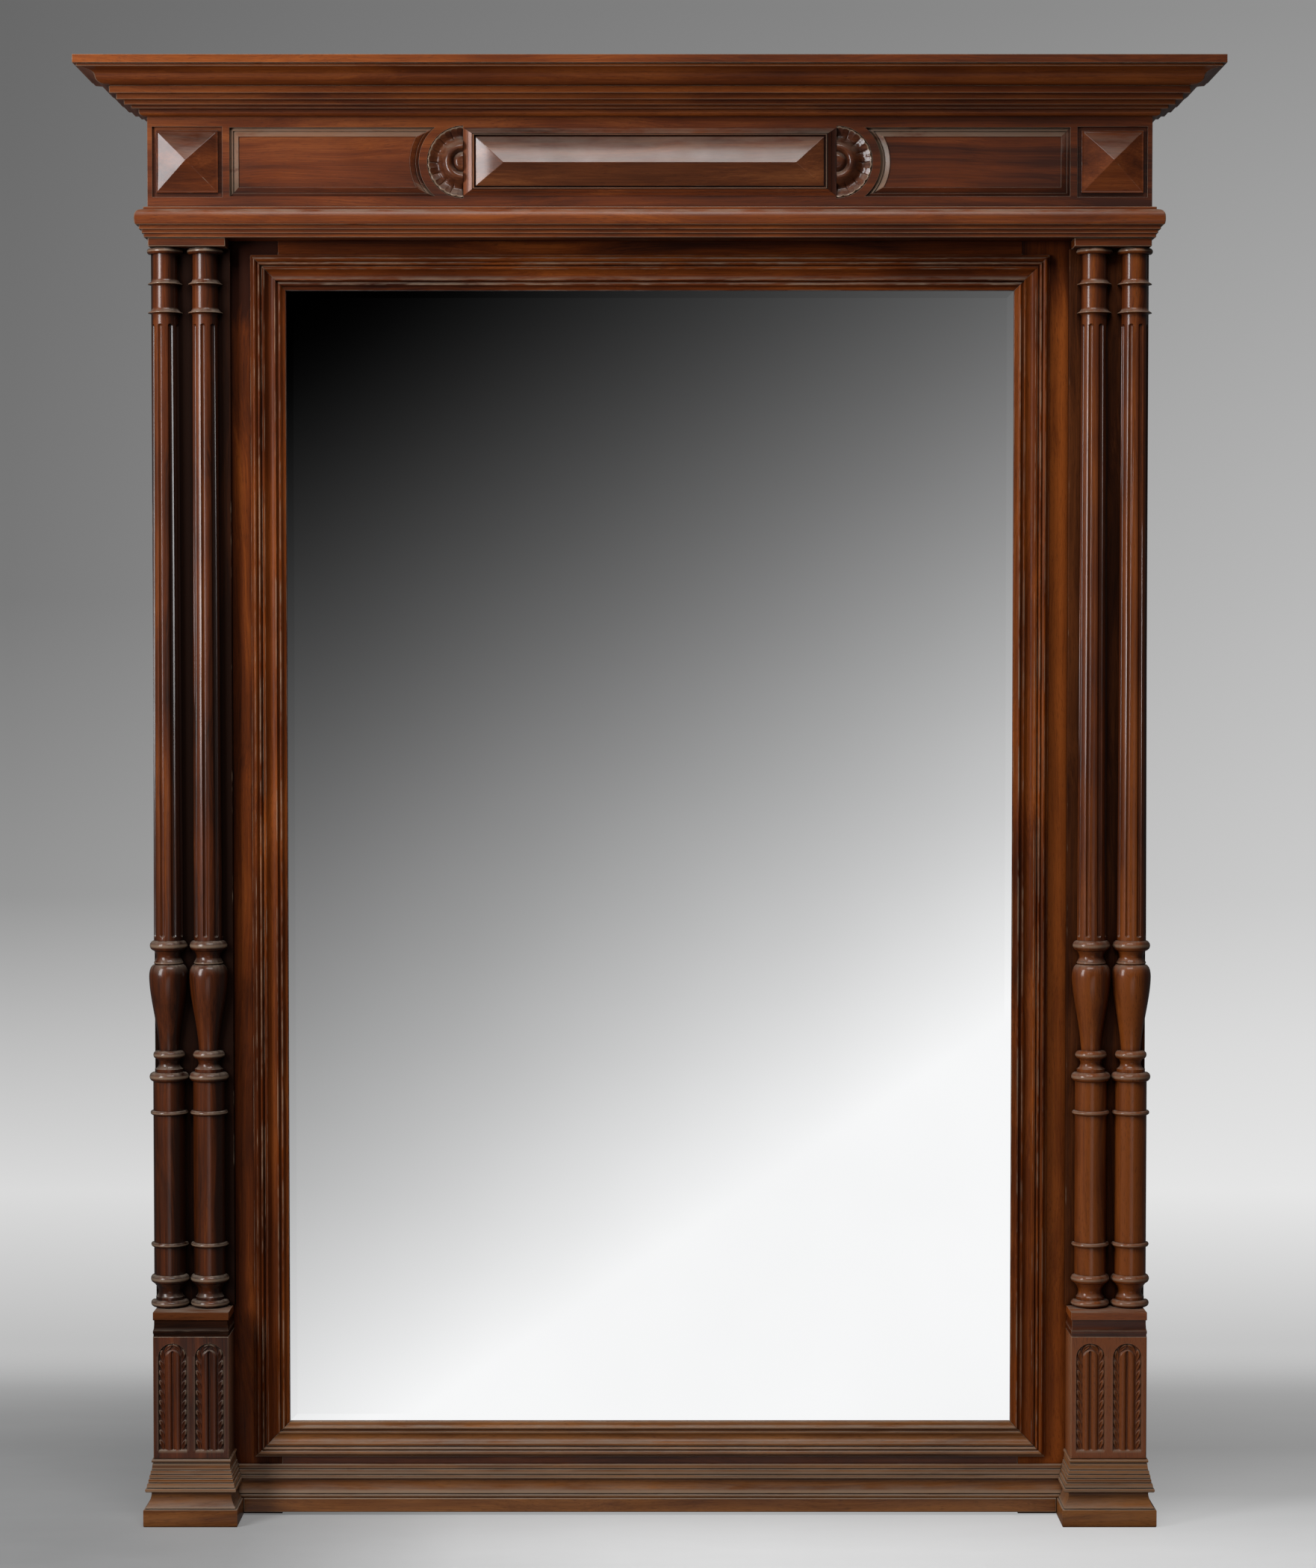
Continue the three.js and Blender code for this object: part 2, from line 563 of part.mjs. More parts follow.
entablatureMoulding('architrave', architraveOutline(), architraveFoot);
for (const [side, sign] of SIDES) {
  add(`abacus_${side}`, block([sign * (orderHalf - ABACUS_WIDTH), sign * orderHalf],
    [FRAME_THICKNESS + FIT, ENTABLATURE_DEPTH], [abacusFoot, architraveFoot - FIT]), WALNUT);
}

// ---- Mirror frame --------------------------------------------------------------------------

const tenonDepth = [REBATE_DEPTH + 2, REBATE_DEPTH + 2 + TENON_THICKNESS];
const topTenon = [topRailFoot + TENON_SHOULDER, topBoardFoot - TENON_SHOULDER];
const bottomTenon = [RAIL_CLEARANCE + TENON_SHOULDER, bottomRailTop - TENON_SHOULDER];
const rebateFoot = bottomRailTop - REBATE_WIDTH;
const rebateTop = topRailFoot + REBATE_WIDTH;

// The tenon of a rail, or with some play its mortise in the stile.
function tenon(sign, [z0, z1], play) {
  const root = sign * (stileInner - FIT - 1);
  const end = sign * (stileInner + TENON_LENGTH + play);
  const [d0, d1] = tenonDepth;
  return block([root, end], [d0 - play, d1 + play], [z0 - play, z1 + play]);
}

function stile(sign) {
  const body = block([sign * stileInner, sign * orderHalf], [0, FRAME_THICKNESS], [0, topBoardFoot - FIT]);
  const rebate = block([sign * (stileInner - 1), sign * (stileInner + REBATE_WIDTH)], [-1, REBATE_DEPTH],
    [rebateFoot, rebateTop]);
  return cut(body, rebate, tenon(sign, topTenon, FIT), tenon(sign, bottomTenon, FIT));
}

function rail([z0, z1], tenonHeight, rebateHeight) {
  const half = stileInner - FIT;
  const body = block([-half, half], [0, FRAME_THICKNESS], [z0, z1]);
  const rebate = block([-half - 1, half + 1], [-1, REBATE_DEPTH], rebateHeight);
  return join(cut(body, rebate), tenon(-1, tenonHeight, 0), tenon(1, tenonHeight, 0));
}

add('top_rail', rail([topRailFoot, topBoardFoot - FIT], topTenon, [topRailFoot - 1, rebateTop]), WALNUT);
add('bottom_rail', rail([RAIL_CLEARANCE, bottomRailTop], bottomTenon, [rebateFoot, bottomRailTop + 1]),
  WALNUT);
for (const [side, sign] of SIDES) add(`stile_${side}`, stile(sign), WALNUT);

// ---- Sight moulding, glass and back --------------------------------------------------------

// x runs outwards from the sight edge, y is the height over the back plane. The back of the
// moulding is stepped: its inner part hangs over the glass.
function sightOutline() {
  const face = FRAME_THICKNESS;
  const front = SIGHT_SECTION.map((point) => point.map((value, i) => (
    i % 2 === 0 ? SIGHT_MOULDING - value : face + value)));
  return draw([[0, GLASS_FRONT + FIT], [frameEdge - FIT, GLASS_FRONT + FIT], [frameEdge - FIT, face + FIT],
    [SIGHT_MOULDING, face + FIT], ...front]);
}

function addSightMoulding() {
  const middle = (sightTop + sightFoot) / 2;
  const halfHeight = (sightTop - sightFoot) / 2;
  for (const [side, sign] of [['bottom', -1], ['top', 1]]) {
    add(`sight_moulding_${side}`, moulding(sightOutline(), (out, up, t) => {
      const end = sightHalf + out - FIT;
      return [between(-end, end, t), -up, middle + sign * (halfHeight + out)];
    }), WALNUT);
  }
  for (const [side, sign] of SIDES) {
    add(`sight_moulding_${side}`, moulding(sightOutline(), (out, up, t) => {
      const end = halfHeight + out;
      return [sign * (sightHalf + out), -up, middle + between(-end, end, t)];
    }), WALNUT);
  }
}

// A plate with a ground bevel round its face.
function glass() {
  const x = sightHalf + GLASS_LAP;
  const z0 = sightFoot - GLASS_LAP;
  const z1 = sightTop + GLASS_LAP;
  const plate = loft([
    [-x, x, z0, z1, 0],
    [-x, x, z0, z1, GLASS_THICKNESS - BEVEL_DROP],
    [BEVEL_WIDTH - x, x - BEVEL_WIDTH, z0 + BEVEL_WIDTH, z1 - BEVEL_WIDTH, GLASS_THICKNESS],
  ]);
  return plate.rotateX(Math.PI / 2);
}

function addBack() {
  const glassBack = GLASS_FRONT - GLASS_THICKNESS;
  const stopDepth = [REBATE_DEPTH, glassBack - FIT];
  const outer = stileInner - FIT;
  const inner = outer - STOP_WIDTH;
  const [foot, top] = [bottomRailTop + FIT, topRailFoot - FIT];
  for (const [side, sign] of SIDES) {
    add(`glass_stop_${side}`, block([sign * inner, sign * outer], stopDepth, [foot, top]), SOFTWOOD);
  }
  const across = [FIT - inner, inner - FIT];
  add('glass_stop_bottom', block(across, stopDepth, [foot, foot + STOP_WIDTH]), SOFTWOOD);
  add('glass_stop_top', block(across, stopDepth, [top - STOP_WIDTH, top]), SOFTWOOD);

  const half = stileInner + REBATE_WIDTH - FIT;
  const pitch = 2 * half / PLANK_COUNT;
  for (let i = 0; i < PLANK_COUNT; i++) {
    const left = -half + i * pitch;
    add(`back_plank_${i + 1}`, block([left, left + pitch - FIT], [REBATE_DEPTH - FIT - PLANK_THICKNESS,
      REBATE_DEPTH - FIT], [rebateFoot + FIT, rebateTop - FIT]), SOFTWOOD);
  }
}

addSightMoulding();
add('mirror_glass', glass(), SILVERED_GLASS, 0, GLASS_THICKNESS - GLASS_FRONT, 0);
addBack();

// ---- Pilasters and columns -----------------------------------------------------------------

// The outline of a turning, built upwards from the axis at its foot.
class Turning {
  constructor() {
    this.level = 0;
    this.points = [new THREE.Vector2(0, 0)];
  }

  to(radius, rise = 0) {
    this.level += rise;
    this.points.push(new THREE.Vector2(radius, this.level));
    return this;
  }

  // A stretch of shaft, straight or tapered.
  shaft(foot, top, rise) {
    return this.to(foot).to(top, rise);
  }

  // A half-round ring.
  bead(radius, rise) {
    const start = this.level;
    const steps = rise < 6 ? 3 : 4;
    for (let i = 0; i <= steps; i++) {
      const angle = Math.PI * (i / steps - 0.5);
      const out = radius - rise / 2 * (1 - Math.cos(angle));
      this.points.push(new THREE.Vector2(out, start + rise / 2 * (1 + Math.sin(angle))));
    }
    this.level = start + rise;
    return this;
  }

  // A hollow between two edges.
  hollow(foot, waist, top, rise) {
    const start = this.level;
    const curve = new THREE.QuadraticBezierCurve(
      new THREE.Vector2(foot, start),
      new THREE.Vector2(2 * waist - (foot + top) / 2, start + rise * 0.45),
      new THREE.Vector2(top, start + rise),
    );
    this.points.push(...curve.getPoints(5));
    this.level = start + rise;
    return this;
  }

  // A thin disc, undercut below, whose top is hollow and runs into the neck.
  disc(neck, radius, rise) {
    const out = radius - neck;
    return this.to(neck).to(neck + out * 0.25, rise * 0.16).to(radius, rise * 0.1).to(radius, rise * 0.12)
      .to(neck + out * 0.45, rise * 0.16).to(neck + out * 0.15, rise * 0.2).to(neck, rise * 0.26);
  }

  // A vase: narrow foot, full shoulder, drawn in again under the neck.
  vase(foot, shoulder, neck, rise) {
    const start = this.level;
    const turn = start + rise * 0.86;
    const body = new THREE.CubicBezierCurve(
      new THREE.Vector2(foot, start), new THREE.Vector2(foot + 2.5, start + rise * 0.36),
      new THREE.Vector2(shoulder - 0.4, start + rise * 0.6), new THREE.Vector2(shoulder, turn));
    const top = new THREE.QuadraticBezierCurve(
      new THREE.Vector2(shoulder, turn), new THREE.Vector2(shoulder - 0.3, start + rise * 0.98),
      new THREE.Vector2(neck, start + rise));
    this.points.push(...body.getPoints(7), ...top.getPoints(4).slice(1));
    this.level = start + rise;
    return this;
  }

  end() {
    return [...this.points, new THREE.Vector2(0, this.level)];
  }
}

const columnFoot = pedestalTop + FIT;
const columnHeight = abacusFoot - FIT - columnFoot;
const columnAxis = FRAME_THICKNESS + PILASTER_THICKNESS + FIT;

// The fluted shaft takes what height the forms below and above it leave.
function columnTurning() {
  const turning = new Turning();
  const turn = (forms) => forms.forEach(([form, ...sizes]) => turning[form](...sizes));
  turn(LOWER_TURNING);
  const shaftFoot = turning.level;
  const [ringRadius, ringHeight] = CAPITAL_RING;
  const capitalHeight = CAPITAL.reduce((sum, form) => sum + form.at(-1), ringHeight);
  const shaftTop = columnHeight - capitalHeight;
  turning.shaft(SHAFT_FOOT_RADIUS, SHAFT_TOP_RADIUS, shaftTop - shaftFoot);
  turn(CAPITAL);
  turning.bead(ringRadius, ringHeight);
  return { outline: turning.end(), shaftFoot, shaftTop };
}

// A round-ended cutter that follows the taper of the shaft.
function flute(angle, foot, top) {
  const radius = FLUTE_WIDTH / 2;
  const length = top - foot - FLUTE_WIDTH;
  const lift = radius - FLUTE_DEPTH;
  const tool = new THREE.CapsuleGeometry(radius, length, 1, 8, 1);
  tool.rotateX(Math.PI / 2);
  tool.rotateY(-Math.atan2(SHAFT_FOOT_RADIUS - SHAFT_TOP_RADIUS, length));
  tool.translate((SHAFT_FOOT_RADIUS + SHAFT_TOP_RADIUS) / 2 + lift, 0, (foot + top) / 2);
  tool.rotateZ(angle);
  return weld(tool);
}

// A turning split down its axis: the flat lies on y = 0 and the round faces -Y.
function column() {
  const { outline, shaftFoot, shaftTop } = columnTurning();
  const turned = new THREE.LatheGeometry(outline, COLUMN_SEGMENTS);
  turned.rotateX(Math.PI / 2);
  const other = new THREE.BoxGeometry(2 * PILASTER_WIDTH, PILASTER_WIDTH, 2 * columnHeight);
  other.translate(0, PILASTER_WIDTH / 2, columnHeight / 2);
  const flutes = [];
  for (let i = 0; i < FLUTES / 2; i++) {
    const angle = -Math.PI * (i + 0.5) / (FLUTES / 2);
    flutes.push(flute(angle, shaftFoot + FLUTE_END, shaftTop - FLUTE_NECK));
  }
  return cut(weld(turned), weld(other), ...flutes);
}

for (const [side, sign] of SIDES) {
  add(`pilaster_${side}`, block([sign * pilasterInner, sign * orderHalf],
    [FRAME_THICKNESS + FIT, FRAME_THICKNESS + PILASTER_THICKNESS], [pedestalTop + FIT, abacusFoot - FIT]),
  WALNUT);
  for (const [place, shift] of [['outer', COLUMN_SPACING / 2], ['inner', -COLUMN_SPACING / 2]]) {
    add(`column_${side}_${place}`, column(), CARVED_WALNUT,
      sign * (bayMiddle + PAIR_SHIFT + shift), -columnAxis, columnFoot);
  }
}

// ---- Pedestals -----------------------------------------------------------------------------

const baseMouldingPoints = () => draw(BASE_SECTION, new THREE.Path()).getPoints(4);

// Plinth and moulded base on three sides, up to the fillet under the arcaded block. With some
// play it is the tool that copes the rail moulding to its side.
function plinthBody(sign, play) {
  const path = new THREE.Path();
  path.moveTo(5.2, baseTop);
  path.quadraticCurveTo(4.6, baseTop + 6, 1.6, baseTop + 9);
  path.quadraticCurveTo(0.6, baseTop + 10, 0.4, baseTop + BASE_SLOPE);
  path.lineTo(1, baseTop + BASE_SLOPE);
  path.lineTo(1, panelBlockFoot - FIT);
  const profile = [
    [PLINTH_OUT, 0],
    [PLINTH_OUT, PLINTH_HEIGHT],
    ...baseMouldingPoints().map(({ x, y }) => [x, PLINTH_HEIGHT + y]),
    ...path.getPoints(4).map(({ x, y }) => [x, y]),
  ];
  return loft(profile.map(([out, level]) => {
    const half = PEDESTAL_WIDTH / 2 + out + play;
    return [sign * bayMiddle - half, sign * bayMiddle + half, -PEDESTAL_DEPTH - out - play, 0, level];
  }));
}

function plinth(sign) {
  const reach = PEDESTAL_WIDTH / 2 + 2 * PLINTH_OUT;
  const frameRoom = block([sign * (bayMiddle - reach), sign * (orderHalf + FIT)], [-1, FRAME_THICKNESS + FIT],
    [-1, pedestalTop]);
  return cut(plinthBody(sign, 0), frameRoom);
}

function pedestalCap() {
  const half = PEDESTAL_WIDTH / 2;
  return loft(draw(CAP_SECTION, new THREE.Path()).getPoints(4).map(({ x: out, y: level }) => (
    [-half - out, half + out, -PEDESTAL_DEPTH - out, -FRAME_THICKNESS - FIT, level]
  )));
}

function archOutline(width, foot, top) {
  const radius = width / 2;
  const outline = new THREE.Shape();
  outline.moveTo(-radius, foot);
  outline.lineTo(radius, foot);
  outline.absarc(0, top - radius, radius, 0, Math.PI);
  return outline;
}

// An arched sinking, with a round-headed pair of reeds left standing in it.
function archTool(x) {
  const foot = ARCH_FOOT;
  const top = PANEL_BLOCK - ARCH_TOP;
  const floor = PEDESTAL_DEPTH - ARCH_SINKING;
  const reedFace = PEDESTAL_DEPTH - REED_SINKING;
  const place = (from, to) => (u, v, t) => [x + u, -between(from, to, t), v];
  const hollow = moulding(archOutline(ARCH_WIDTH, foot, top), place(floor, PEDESTAL_DEPTH + 1), 12);
  const reeds = moulding(archOutline(ARCH_WIDTH - 2 * ARCH_BORDER, foot - 1, top - ARCH_BORDER),
    place(floor - 1, reedFace), 10);
  const grooveTop = top - ARCH_BORDER - REED_GROOVE;
  const groove = block([x - REED_GROOVE / 2, x + REED_GROOVE / 2], [floor - 2, PEDESTAL_DEPTH],
    [foot - 2, grooveTop]);
  return cut(hollow, cut(reeds, groove));
}

function pedestal() {
  const half = PEDESTAL_WIDTH / 2;
  const body = block([-half, half], [FRAME_THICKNESS + FIT, PEDESTAL_DEPTH], [0, PANEL_BLOCK - FIT]);
  return cut(body, archTool(-ARCH_SPACING / 2), archTool(ARCH_SPACING / 2));
}

for (const [side, sign] of SIDES) {
  add(`plinth_${side}`, plinth(sign), WALNUT);
  add(`pedestal_${side}`, pedestal(), CARVED_WALNUT, sign * bayMiddle, 0, panelBlockFoot);
  add(`pedestal_cap_${side}`, pedestalCap(), WALNUT, sign * bayMiddle, 0, capFoot);
}

// ---- Base of the bottom rail ---------------------------------------------------------------

function railMoulding() {
  const half = bayMiddle - PEDESTAL_WIDTH / 2;
  const outline = new THREE.Shape();
  const points = baseMouldingPoints();
  outline.moveTo(FIT, 0);
  points.forEach(({ x, y }) => outline.lineTo(x, y));
  outline.lineTo(FIT, points.at(-1).y);
  const run = moulding(outline, (out, up, t) => (
    [between(-half, half, t), -FRAME_THICKNESS - out, PLINTH_HEIGHT + up]
  ));
  return cut(run, plinthBody(-1, FIT), plinthBody(1, FIT));
}

const railPlinthHalf = bayMiddle - PEDESTAL_WIDTH / 2 - PLINTH_OUT - FIT;
add('rail_plinth', block([-railPlinthHalf, railPlinthHalf],
  [FRAME_THICKNESS + FIT, FRAME_THICKNESS + PLINTH_OUT - 1], [RAIL_CLEARANCE, PLINTH_HEIGHT - FIT]), WALNUT);
add('rail_base_moulding', railMoulding(), WALNUT);

export default group;
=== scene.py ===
"""Finishes the overmantel mirror: polished and carved walnut round a bevelled plate.

Metres throughout, +Z up, front towards -Y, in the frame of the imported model. The turnings, the
carved arches, the rosettes, the surround of the centre boss and the mouldings of the base are
made afresh at full detail; every other piece is a copy of its construction solid, the wooden
ones with worn arrises.
"""
import math
import random
from itertools import pairwise

import bmesh
import bpy
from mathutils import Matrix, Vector


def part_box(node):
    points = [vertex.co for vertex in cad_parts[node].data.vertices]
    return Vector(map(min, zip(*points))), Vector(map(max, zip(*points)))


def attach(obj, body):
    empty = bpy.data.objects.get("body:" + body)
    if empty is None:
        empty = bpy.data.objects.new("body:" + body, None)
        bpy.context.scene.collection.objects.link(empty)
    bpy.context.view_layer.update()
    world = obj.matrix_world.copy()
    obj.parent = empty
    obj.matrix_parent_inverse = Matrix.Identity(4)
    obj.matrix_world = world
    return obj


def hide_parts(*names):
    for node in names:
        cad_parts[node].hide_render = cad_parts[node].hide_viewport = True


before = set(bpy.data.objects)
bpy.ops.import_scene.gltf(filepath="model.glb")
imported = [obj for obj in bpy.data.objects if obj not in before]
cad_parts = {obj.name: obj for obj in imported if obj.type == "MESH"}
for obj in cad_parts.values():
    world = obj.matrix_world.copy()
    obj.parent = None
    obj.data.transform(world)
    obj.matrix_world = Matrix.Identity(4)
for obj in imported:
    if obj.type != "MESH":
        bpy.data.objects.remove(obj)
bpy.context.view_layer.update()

MM = 0.001
BODY = "root"
SIDES = (("left", -1), ("right", 1))

# ---- Camera ---------------------------------------------------------------------------------

CAMERA_PLACE = (0.0100, -4.0435, 1.060)
CAMERA_TILT = math.radians(88)      # from straight down
FRAME_HEIGHT_PX = 2100
FOCAL_LENGTH_PX = 4391
SENSOR = 36

# ---- Sizes of the detailed pieces, in mm -----------------------------------------------------

# Half-columns, turned from the foot up: form, radii, height
LOWER_TURNING = (
    ("bead", 23.8, 8.7), ("shaft", 17.7, 17.7, 3.7), ("hollow", 17.2, 14.9, 20, 17),
    ("bead", 24, 11.2), ("shaft", 19.9, 19.9, 34.7), ("bead", 23.3, 5.6),
    ("shaft", 19.9, 19.9, 159.3), ("bead", 23.3, 5.6), ("shaft", 19.9, 19.9, 36),
    ("bead", 24.4, 11.7), ("shaft", 17.7, 17.7, 4), ("hollow", 17, 13.1, 15, 12.2),
    ("bead", 19.6, 10.6), ("vase", 12.4, 24.3, 18, 107.5), ("bead", 18.2, 4.5),
    ("hollow", 17.4, 15.4, 18, 12.5), ("bead", 23.3, 13.2),
)
SHAFT_RADII = (18.2, 16.2)          # fluted shaft, foot and top
CAPITAL = (
    ("disc", 16.2, 21.3, 9.5), ("shaft", 16.2, 16.2, 25.8), ("disc", 16.2, 21.3, 9.5),
    ("shaft", 15.7, 15.7, 30), ("bead", 22.3, 7.5),
)
FLUTES = 8                          # on a full turn
FLUTE_WIDTH = 6.2
FLUTE_DEPTH = 2.6
FLUTE_END = 4                       # plain shaft under the flutes
FLUTE_NECK = 11                     # and over them
FACETS = 88                         # on the half turn of a finished column

# Carved arches of the pedestals
ARCH_WIDTH = 35.4
ARCH_SPACING = 45.5
ARCH_FOOT = 10
ARCH_TOP = 8.5
ARCH_SINKING = 3
ARCH_BORDER = 8.6
REED_GROOVE = 2.6
REED_SINKING = 0.5

# Rosettes: [radius, height over the frieze] from the eye to the rim
ROSETTE_SECTION = ((0, 4.4), (5.5, 4.9), (8.2, 4.3), (10.8, 2.2), (12.4, 0.5), (14, 2.8), (16, 5.4),
                   (18.5, 6.2), (21.5, 5.1), (25.5, 1.4), (29, -2.6), (32, -4.6), (35.5, -3.4),
                   (39, -1.2), (42.6, 0.8))
ROSETTE_RADIUS = 43.5
ROSETTE_SINKING = 7
ROSETTE_LOBES = 8                   # gadroons on the half turn, two scallops to each
LOBE_DEPTH = 2.2
LOBE_FOOT = 6                       # the gadroons start so far outside the raised ring
SCALLOP_DEPTH = 1.6
ROSETTE_STEP = 0.6                  # between the points of the finished rosette
SPOKES_PER_LOBE = 24
RUBBED_FROM = 41.8                  # radius from which the rim is rubbed
FIT = 0.3


# ---- Node trees -----------------------------------------------------------------------------

class Tree:
    """Writes a shader or geometry tree, one node after the other."""

    def __init__(self, tree):
        self.tree = tree

    def node(self, kind, settings=None, **inputs):
        made = self.tree.nodes.new(kind)
        for name, value in (settings or {}).items():
            setattr(made, name, value)
        for name, value in inputs.items():
            self.feed(made.inputs[name.replace("_", " ")], value)
        return made

    def feed(self, socket, value):
        if isinstance(value, bpy.types.NodeSocket):
            self.tree.links.new(value, socket)
        else:
            socket.default_value = value

    def math(self, operation, *values, clamp=False):
        made = self.node("ShaderNodeMath", {"operation": operation, "use_clamp": clamp})
        for socket, value in zip(made.inputs, values):
            self.feed(socket, value)
        return made.outputs[0]

    def vector(self, operation, *values):
        made = self.node("ShaderNodeVectorMath", {"operation": operation})
        for socket, value in zip(made.inputs, values):
            self.feed(socket, value)
        return made.outputs[0]

    def split(self, vector):
        return self.node("ShaderNodeSeparateXYZ", Vector=vector).outputs

    def span(self, value, low, high, to_low=0.0, to_high=1.0, smooth=False):
        """Maps low..high to to_low..to_high and holds the ends."""
        made = self.node("ShaderNodeMapRange", {
            "clamp": True, "interpolation_type": "SMOOTHSTEP" if smooth else "LINEAR"})
        for socket, number in zip(made.inputs, (value, low, high, to_low, to_high)):
            self.feed(socket, number)
        return made.outputs[0]

    def mix(self, factor, first, second, blend="MIX"):
        made = self.node("ShaderNodeMix", {"data_type": "RGBA", "blend_type": blend})
        for socket, value in zip((made.inputs[0], made.inputs[6], made.inputs[7]),
                                 (factor, first, second)):
            self.feed(socket, value)
        return made.outputs[2]

    def ramp(self, factor, *stops):
        """Colours (place, colour) along a factor."""
        made = self.node("ShaderNodeValToRGB", Fac=factor)
        elements = made.color_ramp.elements
        while len(elements) < len(stops):
            elements.new(1.0)
        for element, (place, colour) in zip(elements, stops):
            element.position = place
            element.color = colour
        return made.outputs[0]

    def noise(self, place, stretch, detail=2.0, roughness=0.5, distortion=0.0):
        """Noise with so many features per metre along, across and in depth."""
        stretched = self.vector("MULTIPLY", place, stretch)
        return self.node("ShaderNodeTexNoise", Vector=stretched, Scale=1.0, Detail=detail,
                         Roughness=roughness, Distortion=distortion).outputs["Fac"]


def rgb(red, green, blue):
    """A colour as it shows on a screen, 0 to 255, made linear."""
    def linear(value):
        share = value / 255
        return share / 12.92 if share <= 0.04045 else ((share + 0.055) / 1.055) ** 2.4
    return (linear(red), linear(green), linear(blue), 1.0)


def node_group(name, inputs, outputs, kind="ShaderNodeTree"):
    """A group with named inputs (name, type and often a default) and outputs (name, type)."""
    group = bpy.data.node_groups.new(name, kind)
    for in_out, sockets in (("INPUT", inputs), ("OUTPUT", outputs)):
        for socket_name, socket_type, *default in sockets:
            socket = group.interface.new_socket(name=socket_name, in_out=in_out,
                                                socket_type="NodeSocket" + socket_type)
            if default:
                socket.default_value, = default
    tree = Tree(group)
    entry = group.nodes.new("NodeGroupInput").outputs
    result = group.nodes.new("NodeGroupOutput").inputs
    return tree, entry, result


def placed(tree, group, **inputs):
    """Places a group in a material's tree."""
    return tree.node("ShaderNodeGroup", {"node_tree": group}, **inputs).outputs


# ---- Effects shared by the finishes ---------------------------------------------------------

def walnut_figure():
    """Brown figure that runs along the grain, with fine fibres and open pores."""
    black = (0, 0, 0, 1)
    tree, entry, result = node_group(
        "walnut_figure", [("Grain", "Vector"), ("Tone", "Float", 0.0), ("Dark", "Color", black),
                          ("Middle", "Color", black), ("Light", "Color", black)],
        [("Colour", "Color"), ("Pores", "Float"), ("Fibre", "Float")])
    grain = entry["Grain"]
    drift = tree.noise(grain, (2.6, 7.0, 7.0), detail=2.0)
    sway = tree.math("MULTIPLY", tree.math("SUBTRACT", drift, 0.5), 0.055)
    swayed = tree.vector("ADD", grain, tree.node("ShaderNodeCombineXYZ", Y=sway, Z=sway).outputs[0])
    bands = tree.noise(swayed, (1.1, 46.0, 46.0), detail=3.0, roughness=0.6)
    fibre = tree.noise(swayed, (9.0, 520.0, 520.0), detail=2.0, roughness=0.6)
    pores = tree.noise(swayed, (70.0, 1500.0, 1500.0), detail=1.0)
    clouds = tree.noise(grain, (6.0, 11.0, 11.0), detail=2.0)
    value = tree.math("MULTIPLY", bands, 0.60)
    for part, weight in ((fibre, 0.22), (clouds, 0.34), (entry["Tone"], 0.16)):
        value = tree.math("ADD", value, tree.math("MULTIPLY", part, weight))
    share = tree.span(value, 0.40, 0.78)
    dark_half = tree.mix(tree.span(share, 0.0, 0.5), entry["Dark"], entry["Middle"])
    colour = tree.mix(tree.span(share, 0.5, 1.0), dark_half, entry["Light"])
    open_pores = tree.span(pores, 0.60, 0.70)
    tree.feed(result["Colour"], tree.mix(tree.math("MULTIPLY", open_pores, 0.45), colour,
                                         entry["Dark"]))
    tree.feed(result["Pores"], open_pores)
    tree.feed(result["Fibre"], fibre)
    return tree.tree


def worn_arrises():
    """Where handling has rubbed the polish off an edge, from 0 untouched to 1 rubbed through; on
    the frieze's border slopes the same mask paints a sheen.
    """
    tree, entry, result = node_group(
        "worn_arrises", [("Grain", "Vector"), ("Arris", "Float", 0.0), ("Wear", "Float", 0.5)],
        [("Bare", "Float")])
    patches = tree.noise(entry["Grain"], (16.0, 60.0, 60.0), detail=3.0, roughness=0.7)
    start = tree.math("SUBTRACT", 0.85, entry["Wear"])
    rubbed = tree.span(tree.math("SUBTRACT", patches, tree.math("MULTIPLY", start, 0.75)),
                       0.0, 0.16)
    tree.feed(result["Bare"], tree.math("MULTIPLY", entry["Arris"], rubbed))
    return tree.tree


def settled_dust():
    """Dust on what faces up, and corners darkened by old polish and painted shade."""
    tree, entry, result = node_group(
        "settled_dust", [("Grain", "Vector"), ("Upward", "Float", 0.0), ("Open", "Float", 1.0)],
        [("Dust", "Float"), ("Corners", "Float")])
    patches = tree.noise(entry["Grain"], (22.0, 90.0, 90.0), detail=3.0, roughness=0.6)
    upward = tree.span(entry["Upward"], 0.10, 0.85)
    tree.feed(result["Dust"], tree.math("MULTIPLY", upward, tree.span(patches, 0.30, 0.62)))
    tree.feed(result["Corners"], tree.span(entry["Open"], 0.95, 0.35))
    return tree.tree


FIGURE = walnut_figure()
WEAR_AND_BORDER_SHEEN = worn_arrises()
DUST_AND_CORNER_SHADE = settled_dust()


# ---- Finishes -------------------------------------------------------------------------------

def material(name):
    made = bpy.data.materials.new(name)
    made.use_nodes = True
    made.node_tree.nodes.clear()
    return made, Tree(made.node_tree)


def surface(tree, shader):
    output = tree.tree.nodes.new("ShaderNodeOutputMaterial")
    tree.tree.links.new(shader.outputs[0], output.inputs["Surface"])


def attribute(tree, name):
    return tree.node("ShaderNodeAttribute", {"attribute_name": name}).outputs


CORNER_POLISH_AND_SHADE = rgb(84, 66, 58)       # old polish and painted shade in the corners, multiplied with the wood
# Rubbed wood, which also paints the sheen on the frieze's border slopes
BARE_WOOD_AND_SHEEN = rgb(160, 137, 114)
DUST_COLOUR = rgb(142, 127, 113)


